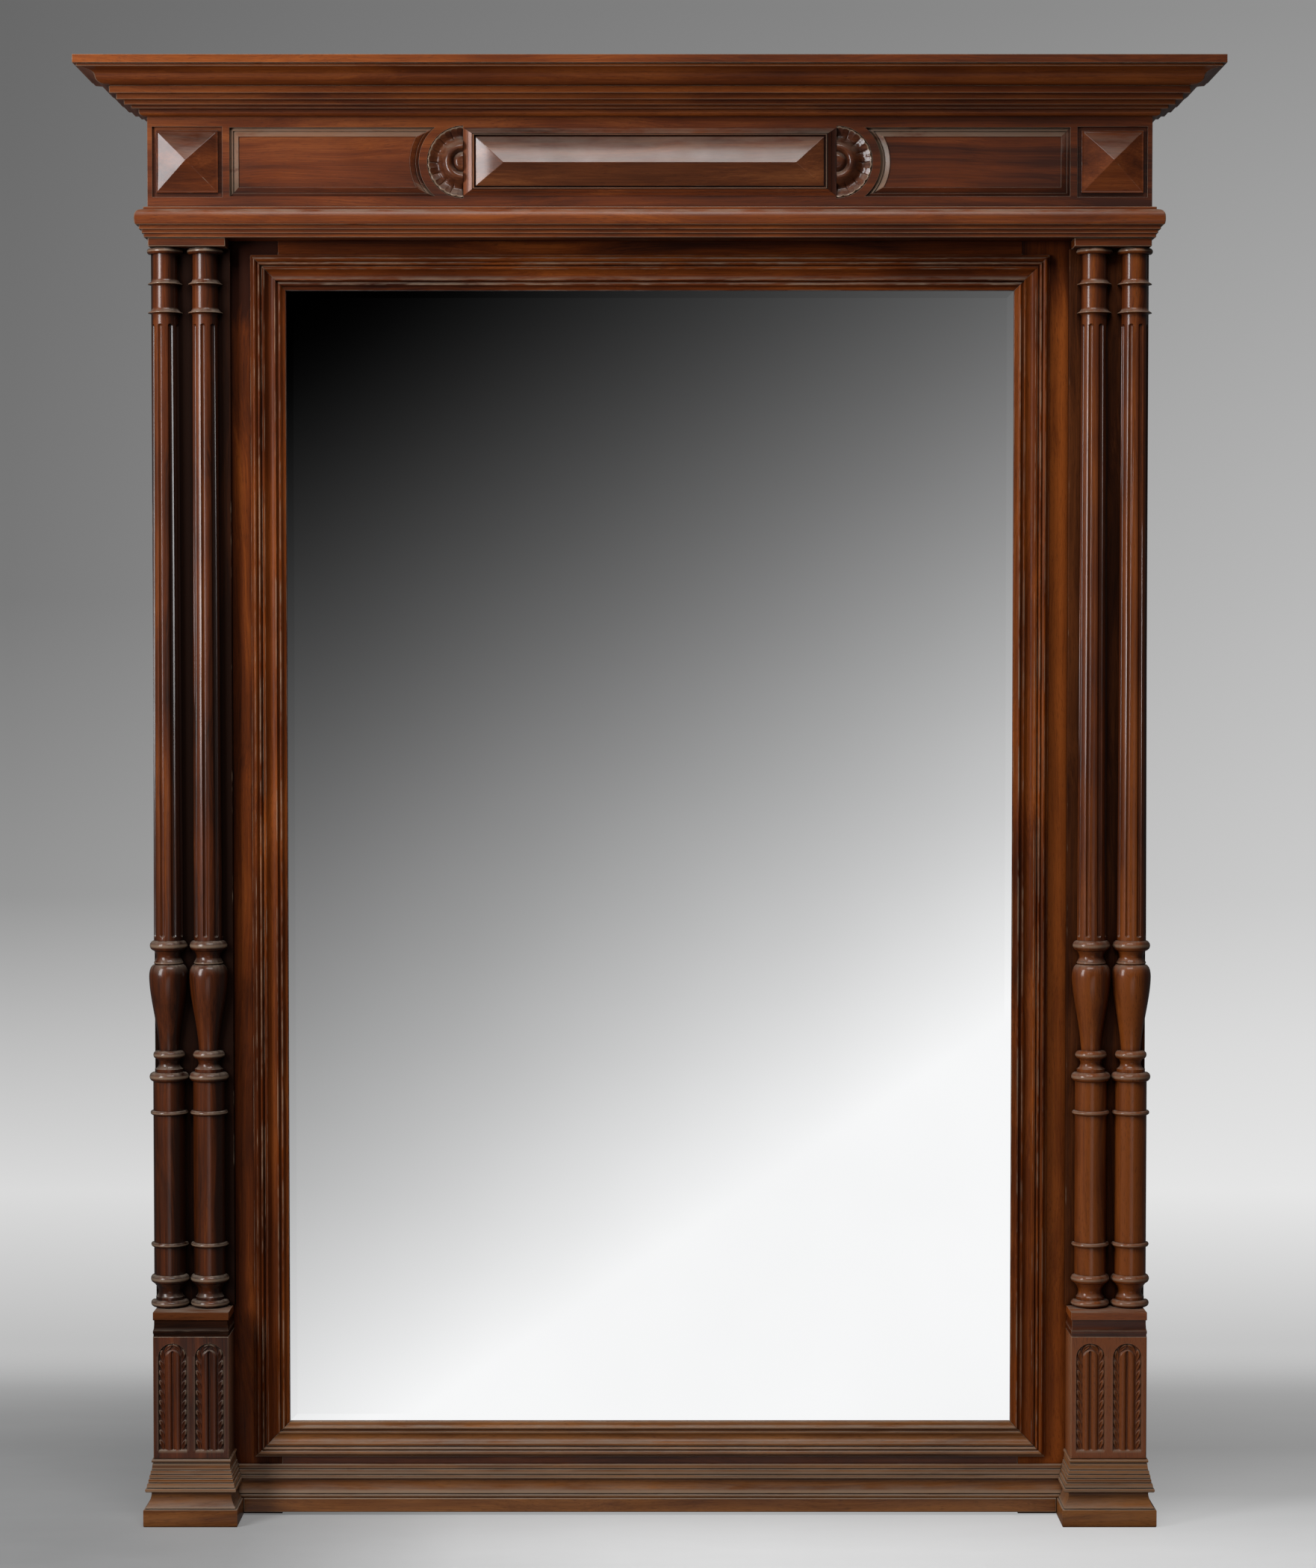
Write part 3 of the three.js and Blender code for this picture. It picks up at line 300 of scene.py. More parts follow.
def polished(name, dark, middle, light, wear=0.5, recess_reach=9, gloss=0.45, sheen=0.25,
             soft=0.46, coat_roughness=0.24):
    """Old polished walnut: figure, rubbed arrises and a painted sheen on the frieze's border
    slopes, dust on the ledges, and corners darkened by old polish and painted shade.
    """
    made, tree = material(name)
    grain = attribute(tree, "grain")["Vector"]
    tone = attribute(tree, "tone")["Fac"]
    arris = attribute(tree, "arris")["Fac"]
    upward = tree.split(tree.node("ShaderNodeNewGeometry").outputs["Normal"])[2]
    openness = tree.node("ShaderNodeAmbientOcclusion", {"samples": 6},
                         Distance=recess_reach * MM).outputs["AO"]
    figure = placed(tree, FIGURE, Grain=grain, Tone=tone, Dark=dark, Middle=middle, Light=light)
    bare_and_sheen = placed(tree, WEAR_AND_BORDER_SHEEN, Grain=grain, Arris=arris, Wear=wear)["Bare"]
    settled = placed(tree, DUST_AND_CORNER_SHADE, Grain=grain, Upward=upward, Open=openness)
    dust, corners = settled["Dust"], settled["Corners"]
    # Painted shade: the corners that the occlusion mask finds are darkened, together with their old
    # polish
    colour = tree.mix(tree.math("MULTIPLY", corners, 0.72), figure["Colour"],
                      tree.mix(1.0, figure["Colour"], CORNER_POLISH_AND_SHADE, "MULTIPLY"))
    colour = tree.mix(tree.math("MULTIPLY", bare_and_sheen, 0.55), colour, BARE_WOOD_AND_SHEEN)
    colour = tree.mix(tree.math("MULTIPLY", dust, 0.62), colour, DUST_COLOUR)
    smudges = tree.noise(grain, (14.0, 26.0, 26.0), detail=3.0, roughness=0.6)
    dull = tree.math("ADD", tree.math("MULTIPLY", dust, 0.25), tree.math("MULTIPLY", corners, 0.18))
    roughness = tree.math("ADD", tree.span(smudges, 0.3, 0.7, soft - 0.08, soft + 0.08), dull,
                          clamp=True)
    coat = tree.math("SUBTRACT", tree.span(smudges, 0.3, 0.7, gloss, gloss * 0.7), dull, clamp=True)
    waves = tree.noise(grain, (18.0, 44.0, 44.0), detail=1.0)
    relief = tree.math("SUBTRACT", tree.math("MULTIPLY", waves, 0.35), figure["Pores"])
    relief = tree.math("ADD", relief, tree.math("MULTIPLY", figure["Fibre"], 0.3))
    bump = tree.node("ShaderNodeBump", Strength=0.16, Distance=0.4 * MM, Height=relief).outputs[0]
    shader = tree.node("ShaderNodeBsdfPrincipled", Base_Color=colour, Roughness=roughness,
                       Specular_IOR_Level=sheen, Coat_Weight=coat,
                       Coat_Roughness=coat_roughness, Coat_IOR=1.5, Normal=bump)
    surface(tree, shader)
    return made


def silvered_plate():
    """Old silvering behind clear glass, faintly clouded."""
    made, tree = material("silvered_plate")
    place = tree.node("ShaderNodeTexCoord").outputs["Object"]
    clouds = tree.noise(place, (3.0, 3.0, 3.0), detail=3.0)
    colour = tree.mix(tree.span(clouds, 0.35, 0.7), (0.93, 0.935, 0.94, 1), (0.90, 0.905, 0.91, 1))
    shader = tree.node("ShaderNodeBsdfPrincipled", Base_Color=colour, Metallic=1.0,
                       Roughness=tree.span(clouds, 0.3, 0.7, 0.015, 0.03))
    surface(tree, shader)
    return made


def raw_softwood():
    """Unfinished spruce gone brown behind the mirror."""
    made, tree = material("raw_softwood")
    grain = attribute(tree, "grain")["Vector"]
    arris = attribute(tree, "arris")["Fac"]
    figure = placed(tree, FIGURE, Grain=grain, Tone=0.2, Dark=rgb(112, 78, 48),
                    Middle=rgb(158, 120, 80), Light=rgb(190, 156, 112))
    colour = tree.mix(tree.math("MULTIPLY", arris, 0.4), figure["Colour"], rgb(104, 76, 52))
    bump = tree.node("ShaderNodeBump", Strength=0.3, Distance=0.5 * MM,
                     Height=figure["Fibre"]).outputs[0]
    shader = tree.node("ShaderNodeBsdfPrincipled", Base_Color=colour, Roughness=0.82, Normal=bump)
    surface(tree, shader)
    return made


def rusted_iron():
    made, tree = material("rusted_iron")
    place = tree.node("ShaderNodeTexCoord").outputs["Object"]
    rust = tree.span(tree.noise(place, (400.0, 400.0, 400.0), detail=3.0), 0.42, 0.6)
    colour = tree.mix(rust, rgb(96, 92, 90), rgb(92, 58, 40))
    shader = tree.node("ShaderNodeBsdfPrincipled", Base_Color=colour,
                       Metallic=tree.math("SUBTRACT", 1.0, rust),
                       Roughness=tree.span(rust, 0, 1, 0.42, 0.8))
    surface(tree, shader)
    return made


WALNUT = polished("polished_walnut", rgb(58, 22, 5), rgb(106, 48, 12), rgb(146, 75, 26), sheen=0.15)
CARVED = polished("carved_walnut", rgb(46, 19, 6), rgb(92, 42, 15), rgb(132, 70, 31), wear=0.62,
                  recess_reach=6, gloss=0.5, sheen=0.15)
FRIEZE = polished("frieze_walnut", rgb(56, 22, 6), rgb(104, 47, 15), rgb(144, 76, 32), gloss=0.5,
                  sheen=0.18, coat_roughness=0.26)
GLOSSY = polished("bright_walnut", rgb(56, 22, 6), rgb(96, 44, 15), rgb(134, 70, 30), wear=0.12,
                  gloss=0.72, sheen=0.12, coat_roughness=0.13)
BRIGHT = polished("boss_walnut", rgb(60, 26, 8), rgb(100, 50, 20), rgb(140, 80, 40), wear=0.08,
                  gloss=0.85, coat_roughness=0.15)
DULL = polished("dulled_walnut", rgb(46, 16, 3), rgb(96, 42, 9), rgb(142, 72, 24), wear=0.25,
                gloss=0.10, sheen=0.08, soft=0.52)
# Very dark walnut with painted shade, for the pilasters in the gaps between the columns and for the
# left pedestal cap
SHADED = polished("shaded_walnut", rgb(28, 11, 4), rgb(56, 26, 10), rgb(96, 50, 22), wear=0.1,
                  gloss=0.05, sheen=0.05, soft=0.55)
BASE = polished("base_walnut", rgb(52, 24, 7), rgb(104, 57, 20), rgb(146, 90, 42), wear=0.62,
                recess_reach=4, gloss=0.45, sheen=0.15)
TURNED = polished("turned_walnut", rgb(38, 14, 3), rgb(90, 40, 11), rgb(136, 70, 24), wear=0.72,
                  recess_reach=6, gloss=0.72, sheen=0.12, coat_roughness=0.17)
ROSETTE = polished("rosette_walnut", rgb(36, 15, 6), rgb(72, 33, 14), rgb(112, 60, 30), wear=0.75,
                   recess_reach=6, gloss=0.75, sheen=0.15, coat_roughness=0.15)
PLATE = silvered_plate()
SOFTWOOD = raw_softwood()
IRON = rusted_iron()


# ---- Meshes ---------------------------------------------------------------------------------

def write(mesh, name, values, domain="POINT", kind="FLOAT", field="value"):
    """Stores one value for each point or corner of a mesh."""
    mesh.attributes.new(name, kind, domain).data.foreach_set(field, values)


def faded(value, low, high):
    """0 up to low, 1 from high on, and evenly between."""
    return min(1.0, max(0.0, (value - low) / (high - low)))


# Seeds of the grain, counted on within a kind; the plain wooden pieces count from 0
SEEDS = {"column": 40, "pedestal": 50, "rosette": 60, "boss_surround": 70, "plinth": 80,
         "rail_base": 82, "back_plank": 100, "glass_stop": 110}


def set_grain(mesh, along, seed):
    """Grain coordinates: along the piece, then across; shifted so that no two pieces match."""
    chance = random.Random(seed)
    shift = [chance.uniform(0, 9) for _ in range(3)]
    order = {"x": (0, 2, 1), "y": (1, 2, 0), "z": (2, 0, 1)}[along]
    values = []
    for vertex in mesh.vertices:
        values.extend(vertex.co[axis] + shift[i] for i, axis in enumerate(order))
    write(mesh, "grain", values, kind="FLOAT_VECTOR", field="vector")


def finish(obj, node, finish_material):
    """Gives a finished piece its material slot, hangs it on its body and hides the node it stands
    in for.
    """
    obj.data.materials.clear()
    obj.data.materials.append(finish_material)
    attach(obj, BODY)
    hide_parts(node)
    return obj


def new_object(name, mesh):
    obj = bpy.data.objects.new(name, mesh)
    bpy.context.scene.collection.objects.link(obj)
    return obj


def made_afresh(node, ending, corners, faces, arris, tones, crease, grain, seed, finish_material):
    """A piece in the place of its node; arris and tones hold one value for each corner."""
    mesh = bpy.data.meshes.new(node + ending)
    mesh.from_pydata(corners, [], faces)
    write(mesh, "arris", arris)
    turn_outwards(mesh)
    mark_creases(mesh, math.radians(crease))
    write(mesh, "tone", tones)
    set_grain(mesh, grain, seed)
    return finish(new_object(node + ending, mesh), node, finish_material)


def tone_by_place(obj, tone_at):
    """Sets the tone of each point from its place."""
    obj.data.attributes["tone"].data.foreach_set(
        "value", [tone_at(vertex.co) for vertex in obj.data.vertices])


def turn_outwards(mesh):
    work = bmesh.new()
    work.from_mesh(mesh)
    bmesh.ops.recalc_face_normals(work, faces=work.faces)
    work.to_mesh(mesh)
    work.free()


def mark_creases(mesh, limit=math.radians(32)):
    """Smooth everywhere except at bends sharper than the limit."""
    mesh.shade_smooth()
    mesh.set_sharp_from_angle(angle=limit)


def open_copy(node):
    """A construction solid opened for changes, with its doubled points joined."""
    work = bmesh.new()
    work.from_mesh(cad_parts[node].data)
    bmesh.ops.remove_doubles(work, verts=work.verts, dist=0.01 * MM)
    return work


def closed_copy(work, name):
    """Puts what was opened into a new mesh."""
    mesh = bpy.data.meshes.new(name)
    work.to_mesh(mesh)
    work.free()
    return mesh


def weigh_normals(obj):
    """Flat faces stay flat and the small rounds between them carry the bend."""
    modifier = obj.modifiers.new("weighted_normals", "WEIGHTED_NORMAL")
    modifier.mode = "FACE_AREA"
    modifier.keep_sharp = True


CREASE = math.radians(28)           # a gentler bend belongs to a curve


def eased(node, rounding, along, seed, tone=0.0, finish_material=WALNUT,
          reshape=None):
    """A copy of a construction solid whose arrises are rounded by so many mm."""
    work = open_copy(node)
    bmesh.ops.dissolve_limit(work, angle_limit=math.radians(1), verts=work.verts, edges=work.edges)
    if reshape:
        reshape(work)
    convex = [edge for edge in work.edges
              if edge.is_manifold and edge.calc_face_angle_signed(0) > CREASE]
    made = bmesh.ops.bevel(work, geom=convex, offset=rounding * MM, offset_type="OFFSET",
                           segments=2, profile=0.5, affect="EDGES", clamp_overlap=True,
                           loop_slide=True)
    rounds = set(made["faces"])
    for face in work.faces:
        face.smooth = True
    for edge in work.edges:
        hollow = edge.is_manifold and edge.calc_face_angle_signed(0) < -CREASE
        edge.smooth = not hollow
    work.faces.index_update()
    arris = [1.0 if face in rounds else 0.0 for face in work.faces for _ in face.loops]
    mesh = closed_copy(work, node + "_eased")
    write(mesh, "arris", arris, "CORNER")
    write(mesh, "tone", [tone] * len(mesh.vertices))
    set_grain(mesh, along, seed)
    obj = new_object(node + "_eased", mesh)
    weigh_normals(obj)
    return finish(obj, node, finish_material)


# ---- Half-columns ---------------------------------------------------------------------------

class Turning:
    """The outline of a turning as [radius, level, edge], built upwards; edge marks an arris."""

    def __init__(self):
        self.level = 0.0
        self.points = []

    def to(self, radius, rise=0.0, edge=0.0):
        self.level += rise
        self.points.append((radius, self.level, edge))

    def shaft(self, foot, top, rise):
        self.to(foot)
        self.to(top, rise)

    def bead(self, radius, rise):
        start = self.level
        for i in range(17):
            angle = math.pi * (i / 16 - 0.5)
            self.level = start + rise / 2 * (1 + math.sin(angle))
            worn = max(0.0, math.cos(angle) - 0.92) / 0.08
            self.to(radius - rise / 2 * (1 - math.cos(angle)), edge=worn)

    def hollow(self, foot, waist, top, rise):
        start = self.level
        bend = 2 * waist - (foot + top) / 2
        for i in range(15):
            t = i / 14
            self.level = start + rise * (0.9 * t * (1 - t) + t * t)
            self.to((1 - t) ** 2 * foot + 2 * t * (1 - t) * bend + t * t * top)

    def disc(self, neck, radius, rise):
        start = self.level
        out = radius - neck
        self.to(neck)
        for share, reach in ((0.10, 0.06), (0.16, 0.22), (0.22, 0.62), (0.255, 0.94)):
            self.level = start + share * rise
            self.to(neck + out * reach)
        for share, reach in ((0.30, 1.0), (0.345, 1.0)):
            self.level = start + share * rise
            self.to(neck + out * reach, edge=1.0)
        for i in range(9):
            t = i / 8
            self.level = start + rise * (0.38 + 0.62 * t)
            self.to(neck + out * 0.9 * (1 - t) ** 2.4)

    def vase(self, foot, shoulder, neck, rise):
        start = self.level
        for i in range(29):
            t = i / 28
            a, b, c, d = (1 - t) ** 3, 3 * t * (1 - t) ** 2, 3 * t * t * (1 - t), t ** 3
            self.level = start + rise * (0.36 * b + 0.6 * c + 0.86 * d)
            self.to(a * foot + b * (foot + 2.5) + c * (shoulder - 0.4) + d * shoulder)
        for i in range(1, 13):
            t = i / 12
            self.level = start + rise * (0.86 * (1 - t) ** 2 + 2 * t * (1 - t) * 0.98 + t * t)
            self.to((1 - t) ** 2 * shoulder + 2 * t * (1 - t) * (shoulder - 0.3) + t * t * neck)

    def turn(self, forms):
        for form, *sizes in forms:
            getattr(self, form)(*sizes)


def column_outline(height):
    """The whole outline in mm, and the levels between which the shaft is fluted."""
    turning = Turning()
    turning.turn(LOWER_TURNING)
    shaft_foot = turning.level
    shaft_top = height - sum(form[-1] for form in CAPITAL)
    foot, top = shaft_foot + FLUTE_END, shaft_top - FLUTE_NECK
    taper = (SHAFT_RADII[1] - SHAFT_RADII[0]) / (shaft_top - shaft_foot)
    half_flute = FLUTE_WIDTH / 2
    ends = [half_flute * (1 - math.cos(math.pi / 2 * i / 8)) for i in range(9)]
    levels = [shaft_foot] + [foot + end for end in ends]
    levels += [foot + half_flute + i / 12 * (top - foot - FLUTE_WIDTH) for i in range(1, 12)]
    levels += [top - end for end in reversed(ends)] + [shaft_top]
    for level in levels:
        turning.level = level
        turning.to(SHAFT_RADII[0] + taper * (level - shaft_foot))
    turning.turn(CAPITAL)
    return turning.points, foot, top


def lathe_half(name, points, axis_x, axis_y, foot):
    """A closed half-turning whose flat side lies on y = axis_y; the round faces -Y."""
    mesh = bpy.data.meshes.new(name)
    corners, faces = [], []
    turn = FACETS + 1
    for radius, level, _ in points:
        for i in range(turn):
            angle = math.pi * i / FACETS
            corners.append((axis_x - radius * MM * math.cos(angle),
                            axis_y - radius * MM * math.sin(angle), foot + level * MM))
    for ring in range(len(points) - 1):
        low, high = ring * turn, (ring + 1) * turn
        faces += [(low + i, low + i + 1, high + i + 1, high + i) for i in range(FACETS)]
        faces.append((low + FACETS, low, high, high + FACETS))
    top = (len(points) - 1) * turn
    faces.append(tuple(range(FACETS, -1, -1)))
    faces.append(tuple(range(top, top + turn)))
    mesh.from_pydata(corners, [], faces)
    write(mesh, "arris", [edge for *_, edge in points for _ in range(turn)])
    return mesh


def flute_tree():
    """Geometry Nodes: sinks round-ended flutes into a half-turning."""
    sizes = ("Axis X", "Axis Y", "Foot", "Top", "Flutes per turn", "Flute radius", "Lift", "Turn")
    tree, entry, result = node_group(
        "fluted_shaft", [("Blank", "Geometry"), *((name, "Float") for name in sizes),
                         ("Finish", "Material")], [("Column", "Geometry")], "GeometryNodeTree")
    x, y, z = tree.split(tree.node("GeometryNodeInputPosition").outputs[0])
    across = tree.math("SUBTRACT", x, entry["Axis X"])
    forward = tree.math("SUBTRACT", entry["Axis Y"], y)
    radius = tree.math("SQRT", tree.math("ADD", tree.math("MULTIPLY", across, across),
                                         tree.math("MULTIPLY", forward, forward)))
    turn = tree.math("MULTIPLY", tree.math("SUBTRACT", tree.math("ARCTAN2", across, forward),
                                           entry["Turn"]),
                     tree.math("DIVIDE", entry["Flutes per turn"], 2 * math.pi))
    # A flute's middle lies half a pitch from the front, so that an arris faces forwards.
    off_middle = tree.math("SUBTRACT", tree.math("FRACT", tree.math("ADD", turn, 64.0)), 0.5)
    pitch = tree.math("DIVIDE", tree.math("MULTIPLY", radius, 2 * math.pi),
                      entry["Flutes per turn"])
    aside = tree.math("MULTIPLY", off_middle, pitch)
    low = tree.math("SUBTRACT", tree.math("ADD", entry["Foot"], entry["Flute radius"]), z)
    high = tree.math("SUBTRACT", z, tree.math("SUBTRACT", entry["Top"], entry["Flute radius"]))
    past_end = tree.math("MAXIMUM", tree.math("MAXIMUM", low, high), 0.0)
    square = tree.math("SUBTRACT", tree.math("POWER", entry["Flute radius"], 2.0),
                       tree.math("ADD", tree.math("MULTIPLY", aside, aside),
                                 tree.math("MULTIPLY", past_end, past_end)))
    sink = tree.math("SUBTRACT", tree.math("SQRT", tree.math("MAXIMUM", square, 0.0)),
                     entry["Lift"])
    sink = tree.math("MAXIMUM", sink, 0.0)
    scale = tree.math("DIVIDE", sink, tree.math("MAXIMUM", radius, 0.001))
    move = tree.node("ShaderNodeCombineXYZ", X=tree.math("MULTIPLY", across,
                                                         tree.math("MULTIPLY", scale, -1.0)),
                     Y=tree.math("MULTIPLY", forward, scale)).outputs[0]
    moved = tree.node("GeometryNodeSetPosition", Geometry=entry["Blank"], Offset=move).outputs[0]
    real = tree.node("GeometryNodeRealizeInstances", Geometry=moved).outputs[0]
    done = tree.node("GeometryNodeSetMaterial", Geometry=real, Material=entry["Finish"]).outputs[0]
    tree.feed(result["Column"], done)
    return tree.tree


def made_solid(obj, tree, values):
    """Runs a Geometry Nodes tree on an object with named values and keeps the plain mesh."""
    modifier = obj.modifiers.new(tree.name, "NODES")
    modifier.node_group = tree
    sockets = {item.name: item.identifier for item in tree.interface.items_tree
               if item.in_out == "INPUT"}
    for name, value in values.items():
        modifier[sockets[name]] = value
    bpy.context.view_layer.update()
    ready = obj.evaluated_get(bpy.context.evaluated_depsgraph_get())
    mesh = bpy.data.meshes.new_from_object(ready)
    obj.modifiers.remove(modifier)
    blank = obj.data
    obj.data = mesh
    bpy.data.meshes.remove(blank)
    return obj


# Tones of what is made afresh; dark is negative, warm and light is positive
COLUMN_TONES = {"left": (-0.7, -0.1), "right": (1.4, 0.8)}      # lower turnings, fluted shaft
TONE_CHANGE = (300, 500)            # heights in mm between which one gives way to the other
SIDE_PAINTED_SHADE = -1.6                   # painted shade: tone lost on a column's sides, most on its right side
LIGHTEST_LINE_TURN = 0.35                   # turn in radians, to the left, of its lightest line, towards the window
PEDESTAL_TONES = {"left": -0.4, "right": 2.0}
PLINTH_TONES = {"left": 0.3, "right": 1.2}
RAIL_BASE_TONE = 0.5
ROSETTE_TONE = 0.3
# Degrees by which a column was fitted turned, so that its flutes stand off the middle
FLUTE_TURNS = {"column_left_outer": 7.0, "column_left_inner": 18.0, "column_right_inner": 1.5}


def column(side, place, seed, tree):
    node = f"column_{side}_{place}"
    low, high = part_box(node)
    axis_x, axis_y, foot = (low.x + high.x) / 2, high.y, low.z
    points, flute_foot, flute_top = column_outline((high.z - low.z) / MM)
    obj = new_object(node + "_turned", lathe_half(node + "_turned", points, axis_x, axis_y, foot))
    made_solid(obj, tree, {
        "Axis X": axis_x, "Axis Y": axis_y, "Foot": foot + flute_foot * MM,
        "Top": foot + flute_top * MM, "Flutes per turn": float(FLUTES),
        "Flute radius": FLUTE_WIDTH / 2 * MM, "Lift": (FLUTE_WIDTH / 2 - FLUTE_DEPTH) * MM,
        "Turn": math.radians(FLUTE_TURNS.get(node, 0.0)), "Finish": TURNED})
    mesh = obj.data
    mark_creases(mesh)
    lower, fluted = COLUMN_TONES[side]
    tones = []
    for vertex in mesh.vertices:
        share = faded((vertex.co.z - foot) / MM, *TONE_CHANGE)
        # Painted shade: darker round the column away from its lightest line
        turned = math.atan2(vertex.co.x - axis_x, axis_y + 0.1 * MM - vertex.co.y)
        tones.append(lower + (fluted - lower) * share
                     + SIDE_PAINTED_SHADE * (1 - math.cos(turned + LIGHTEST_LINE_TURN)))
    write(mesh, "tone", tones)
    set_grain(mesh, "z", seed)
    return finish(obj, node, TURNED)


# ---- Rosettes -------------------------------------------------------------------------------

def section_height(section, radius):
    """Height of a smooth curve through the points of a section."""
    for i, ((r0, h0), (r1, h1)) in enumerate(pairwise(section)):
        if radius <= r1:
            before = section[max(0, i - 1)]
            after = section[min(len(section) - 1, i + 2)]
            t = (radius - r0) / (r1 - r0)
            slope_in = (h1 - before[1]) / (r1 - before[0]) * (r1 - r0)
            slope_out = (after[1] - h0) / (after[0] - r0) * (r1 - r0)
            return ((2 * t ** 3 - 3 * t ** 2 + 1) * h0 + (t ** 3 - 2 * t ** 2 + t) * slope_in
                    + (3 * t ** 2 - 2 * t ** 3) * h1 + (t ** 3 - t ** 2) * slope_out)
    return section[-1][1]


def rosette(side, sign, seed):
    """Half a gadrooned rosette: eye, ring and bowl, with cut gadroons and a scalloped rim."""
    node = f"rosette_{side}"
    low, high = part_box(node)
    line = low.x if sign > 0 else high.x            # its flat side
    middle = (low.z + high.z) / 2
    back = high.y                                   # floor of its seat
    face = back - (ROSETTE_SINKING - FIT) * MM      # the face of the frieze
    spokes = ROSETTE_LOBES * SPOKES_PER_LOBE
    lobes_from = max(ROSETTE_SECTION, key=lambda point: point[1])[0] + LOBE_FOOT
    radii = [ROSETTE_STEP * i for i in range(1, int(ROSETTE_SECTION[-1][0] / ROSETTE_STEP) + 1)]
    corners, arris = [], []
    for spoke in range(spokes + 1):
        angle = math.pi * (spoke / spokes - 0.5)
        lobe_place = spoke / SPOKES_PER_LOBE % 1
        cut_line = min(lobe_place, 1 - lobe_place)               # 0 on a cut, 0.5 mid gadroon
        lobe = math.sqrt(max(0.0, 1 - (1 - 2 * cut_line) ** 2))
        scallop = abs(math.sin(2 * math.pi * lobe_place)) ** 0.7
        direction = (sign * math.cos(angle), math.sin(angle))
        for radius in radii:
            parting = max(0.0, (radius - lobes_from) / (ROSETTE_RADIUS - lobes_from))
            reach = radius * (1 - parting ** 2 * (1 - scallop) * SCALLOP_DEPTH / ROSETTE_RADIUS)
            height = (section_height(ROSETTE_SECTION, radius)
                      - LOBE_DEPTH * parting ** 0.6 * (1 - lobe))
            corners.append((line + direction[0] * reach * MM, face - height * MM,
                            middle + direction[1] * reach * MM))
            arris.append(1.0 if radius > RUBBED_FROM else 0.0)
        rim = ROSETTE_RADIUS - SCALLOP_DEPTH * (1 - scallop)
        for reach, height, worn in ((rim, 0.0, 1.0), (ROSETTE_RADIUS, -1.0, 0.0),
                                    (ROSETTE_RADIUS, FIT - ROSETTE_SINKING, 0.0)):
            corners.append((line + direction[0] * reach * MM, face - height * MM,
                            middle + direction[1] * reach * MM))
            arris.append(worn)
    rings = len(radii) + 3
    eye, seat = len(corners), len(corners) + 1
    corners += [(line, face - ROSETTE_SECTION[0][1] * MM, middle), (line, back, middle)]
    arris += [0.0, 0.0]
    faces = []
    for spoke in range(spokes):
        here, there = spoke * rings, (spoke + 1) * rings
        faces.append((eye, here, there))
        faces += [(here + i, here + i + 1, there + i + 1, there + i) for i in range(rings - 1)]
        faces.append((here + rings - 1, seat, there + rings - 1))
    for spoke in (0, spokes):
        flat = [eye] + [spoke * rings + i for i in range(rings)] + [seat]
        faces.append(tuple(flat))
    return made_afresh(node, "_carved", corners, faces, arris, [ROSETTE_TONE] * len(corners),
                       crease=48, grain="x", seed=seed, finish_material=ROSETTE)


# ---- Pedestals ------------------------------------------------------------------------------

def reed_height(inside):
    """Height of a rounded reed over the plain face, so many mm in from its edge."""
    half = (ARCH_WIDTH / 2 - ARCH_BORDER - REED_GROOVE / 2) / 2
    if inside <= 0:
        return -ARCH_SINKING + (ARCH_SINKING - REED_SINKING - 1.7) * max(0.0, 1 + inside / 0.4)
    round_off = 1 - min(1.0, inside / half)
    return -REED_SINKING - 1.7 * (1 - math.sqrt(max(0.0, 1 - round_off ** 2)))


def arch_height(across, up, block_height):
    """Height of the carved face over the plain one; across from an arch's middle line."""
    spring = block_height - ARCH_TOP - ARCH_WIDTH / 2
    reach = abs(across) if up < spring else math.hypot(across, up - spring)
    inside = ARCH_WIDTH / 2 - reach
    if inside <= 0 or up <= ARCH_FOOT:
        return 0.0
    sunk = min(1.0, inside / 0.7) * min(1.0, (up - ARCH_FOOT) / 1.6)
    groove_top = block_height - ARCH_TOP - ARCH_BORDER - REED_GROOVE
    groove_reach = abs(across) if up < groove_top else math.hypot(across, up - groove_top)
    reed = min(reed_height(inside - ARCH_BORDER), reed_height(groove_reach - REED_GROOVE / 2))
    return max(-ARCH_SINKING, reed) * sunk


def lines(*stretches):
    """Grid lines over stretches (start, end, step), in mm."""
    places = []
    for start, end, step in stretches:
        count = max(1, round((end - start) / step))
        places += [start + (end - start) * i / count for i in range(count)]
    return places + [stretches[-1][1]]


# Steps of a pedestal's grid in mm: in its rounded edges, in the carving, on the plain face
# beside and between the arches, and up their straight part
EDGE_STEP, CARVED_STEP, BESIDE_STEP, BETWEEN_STEP, STRAIGHT_STEP = 0.25, 0.3, 2.0, 3.0, 14.0
MARGIN = 0.4                        # the carved part of the grid reaches this far beyond an arch


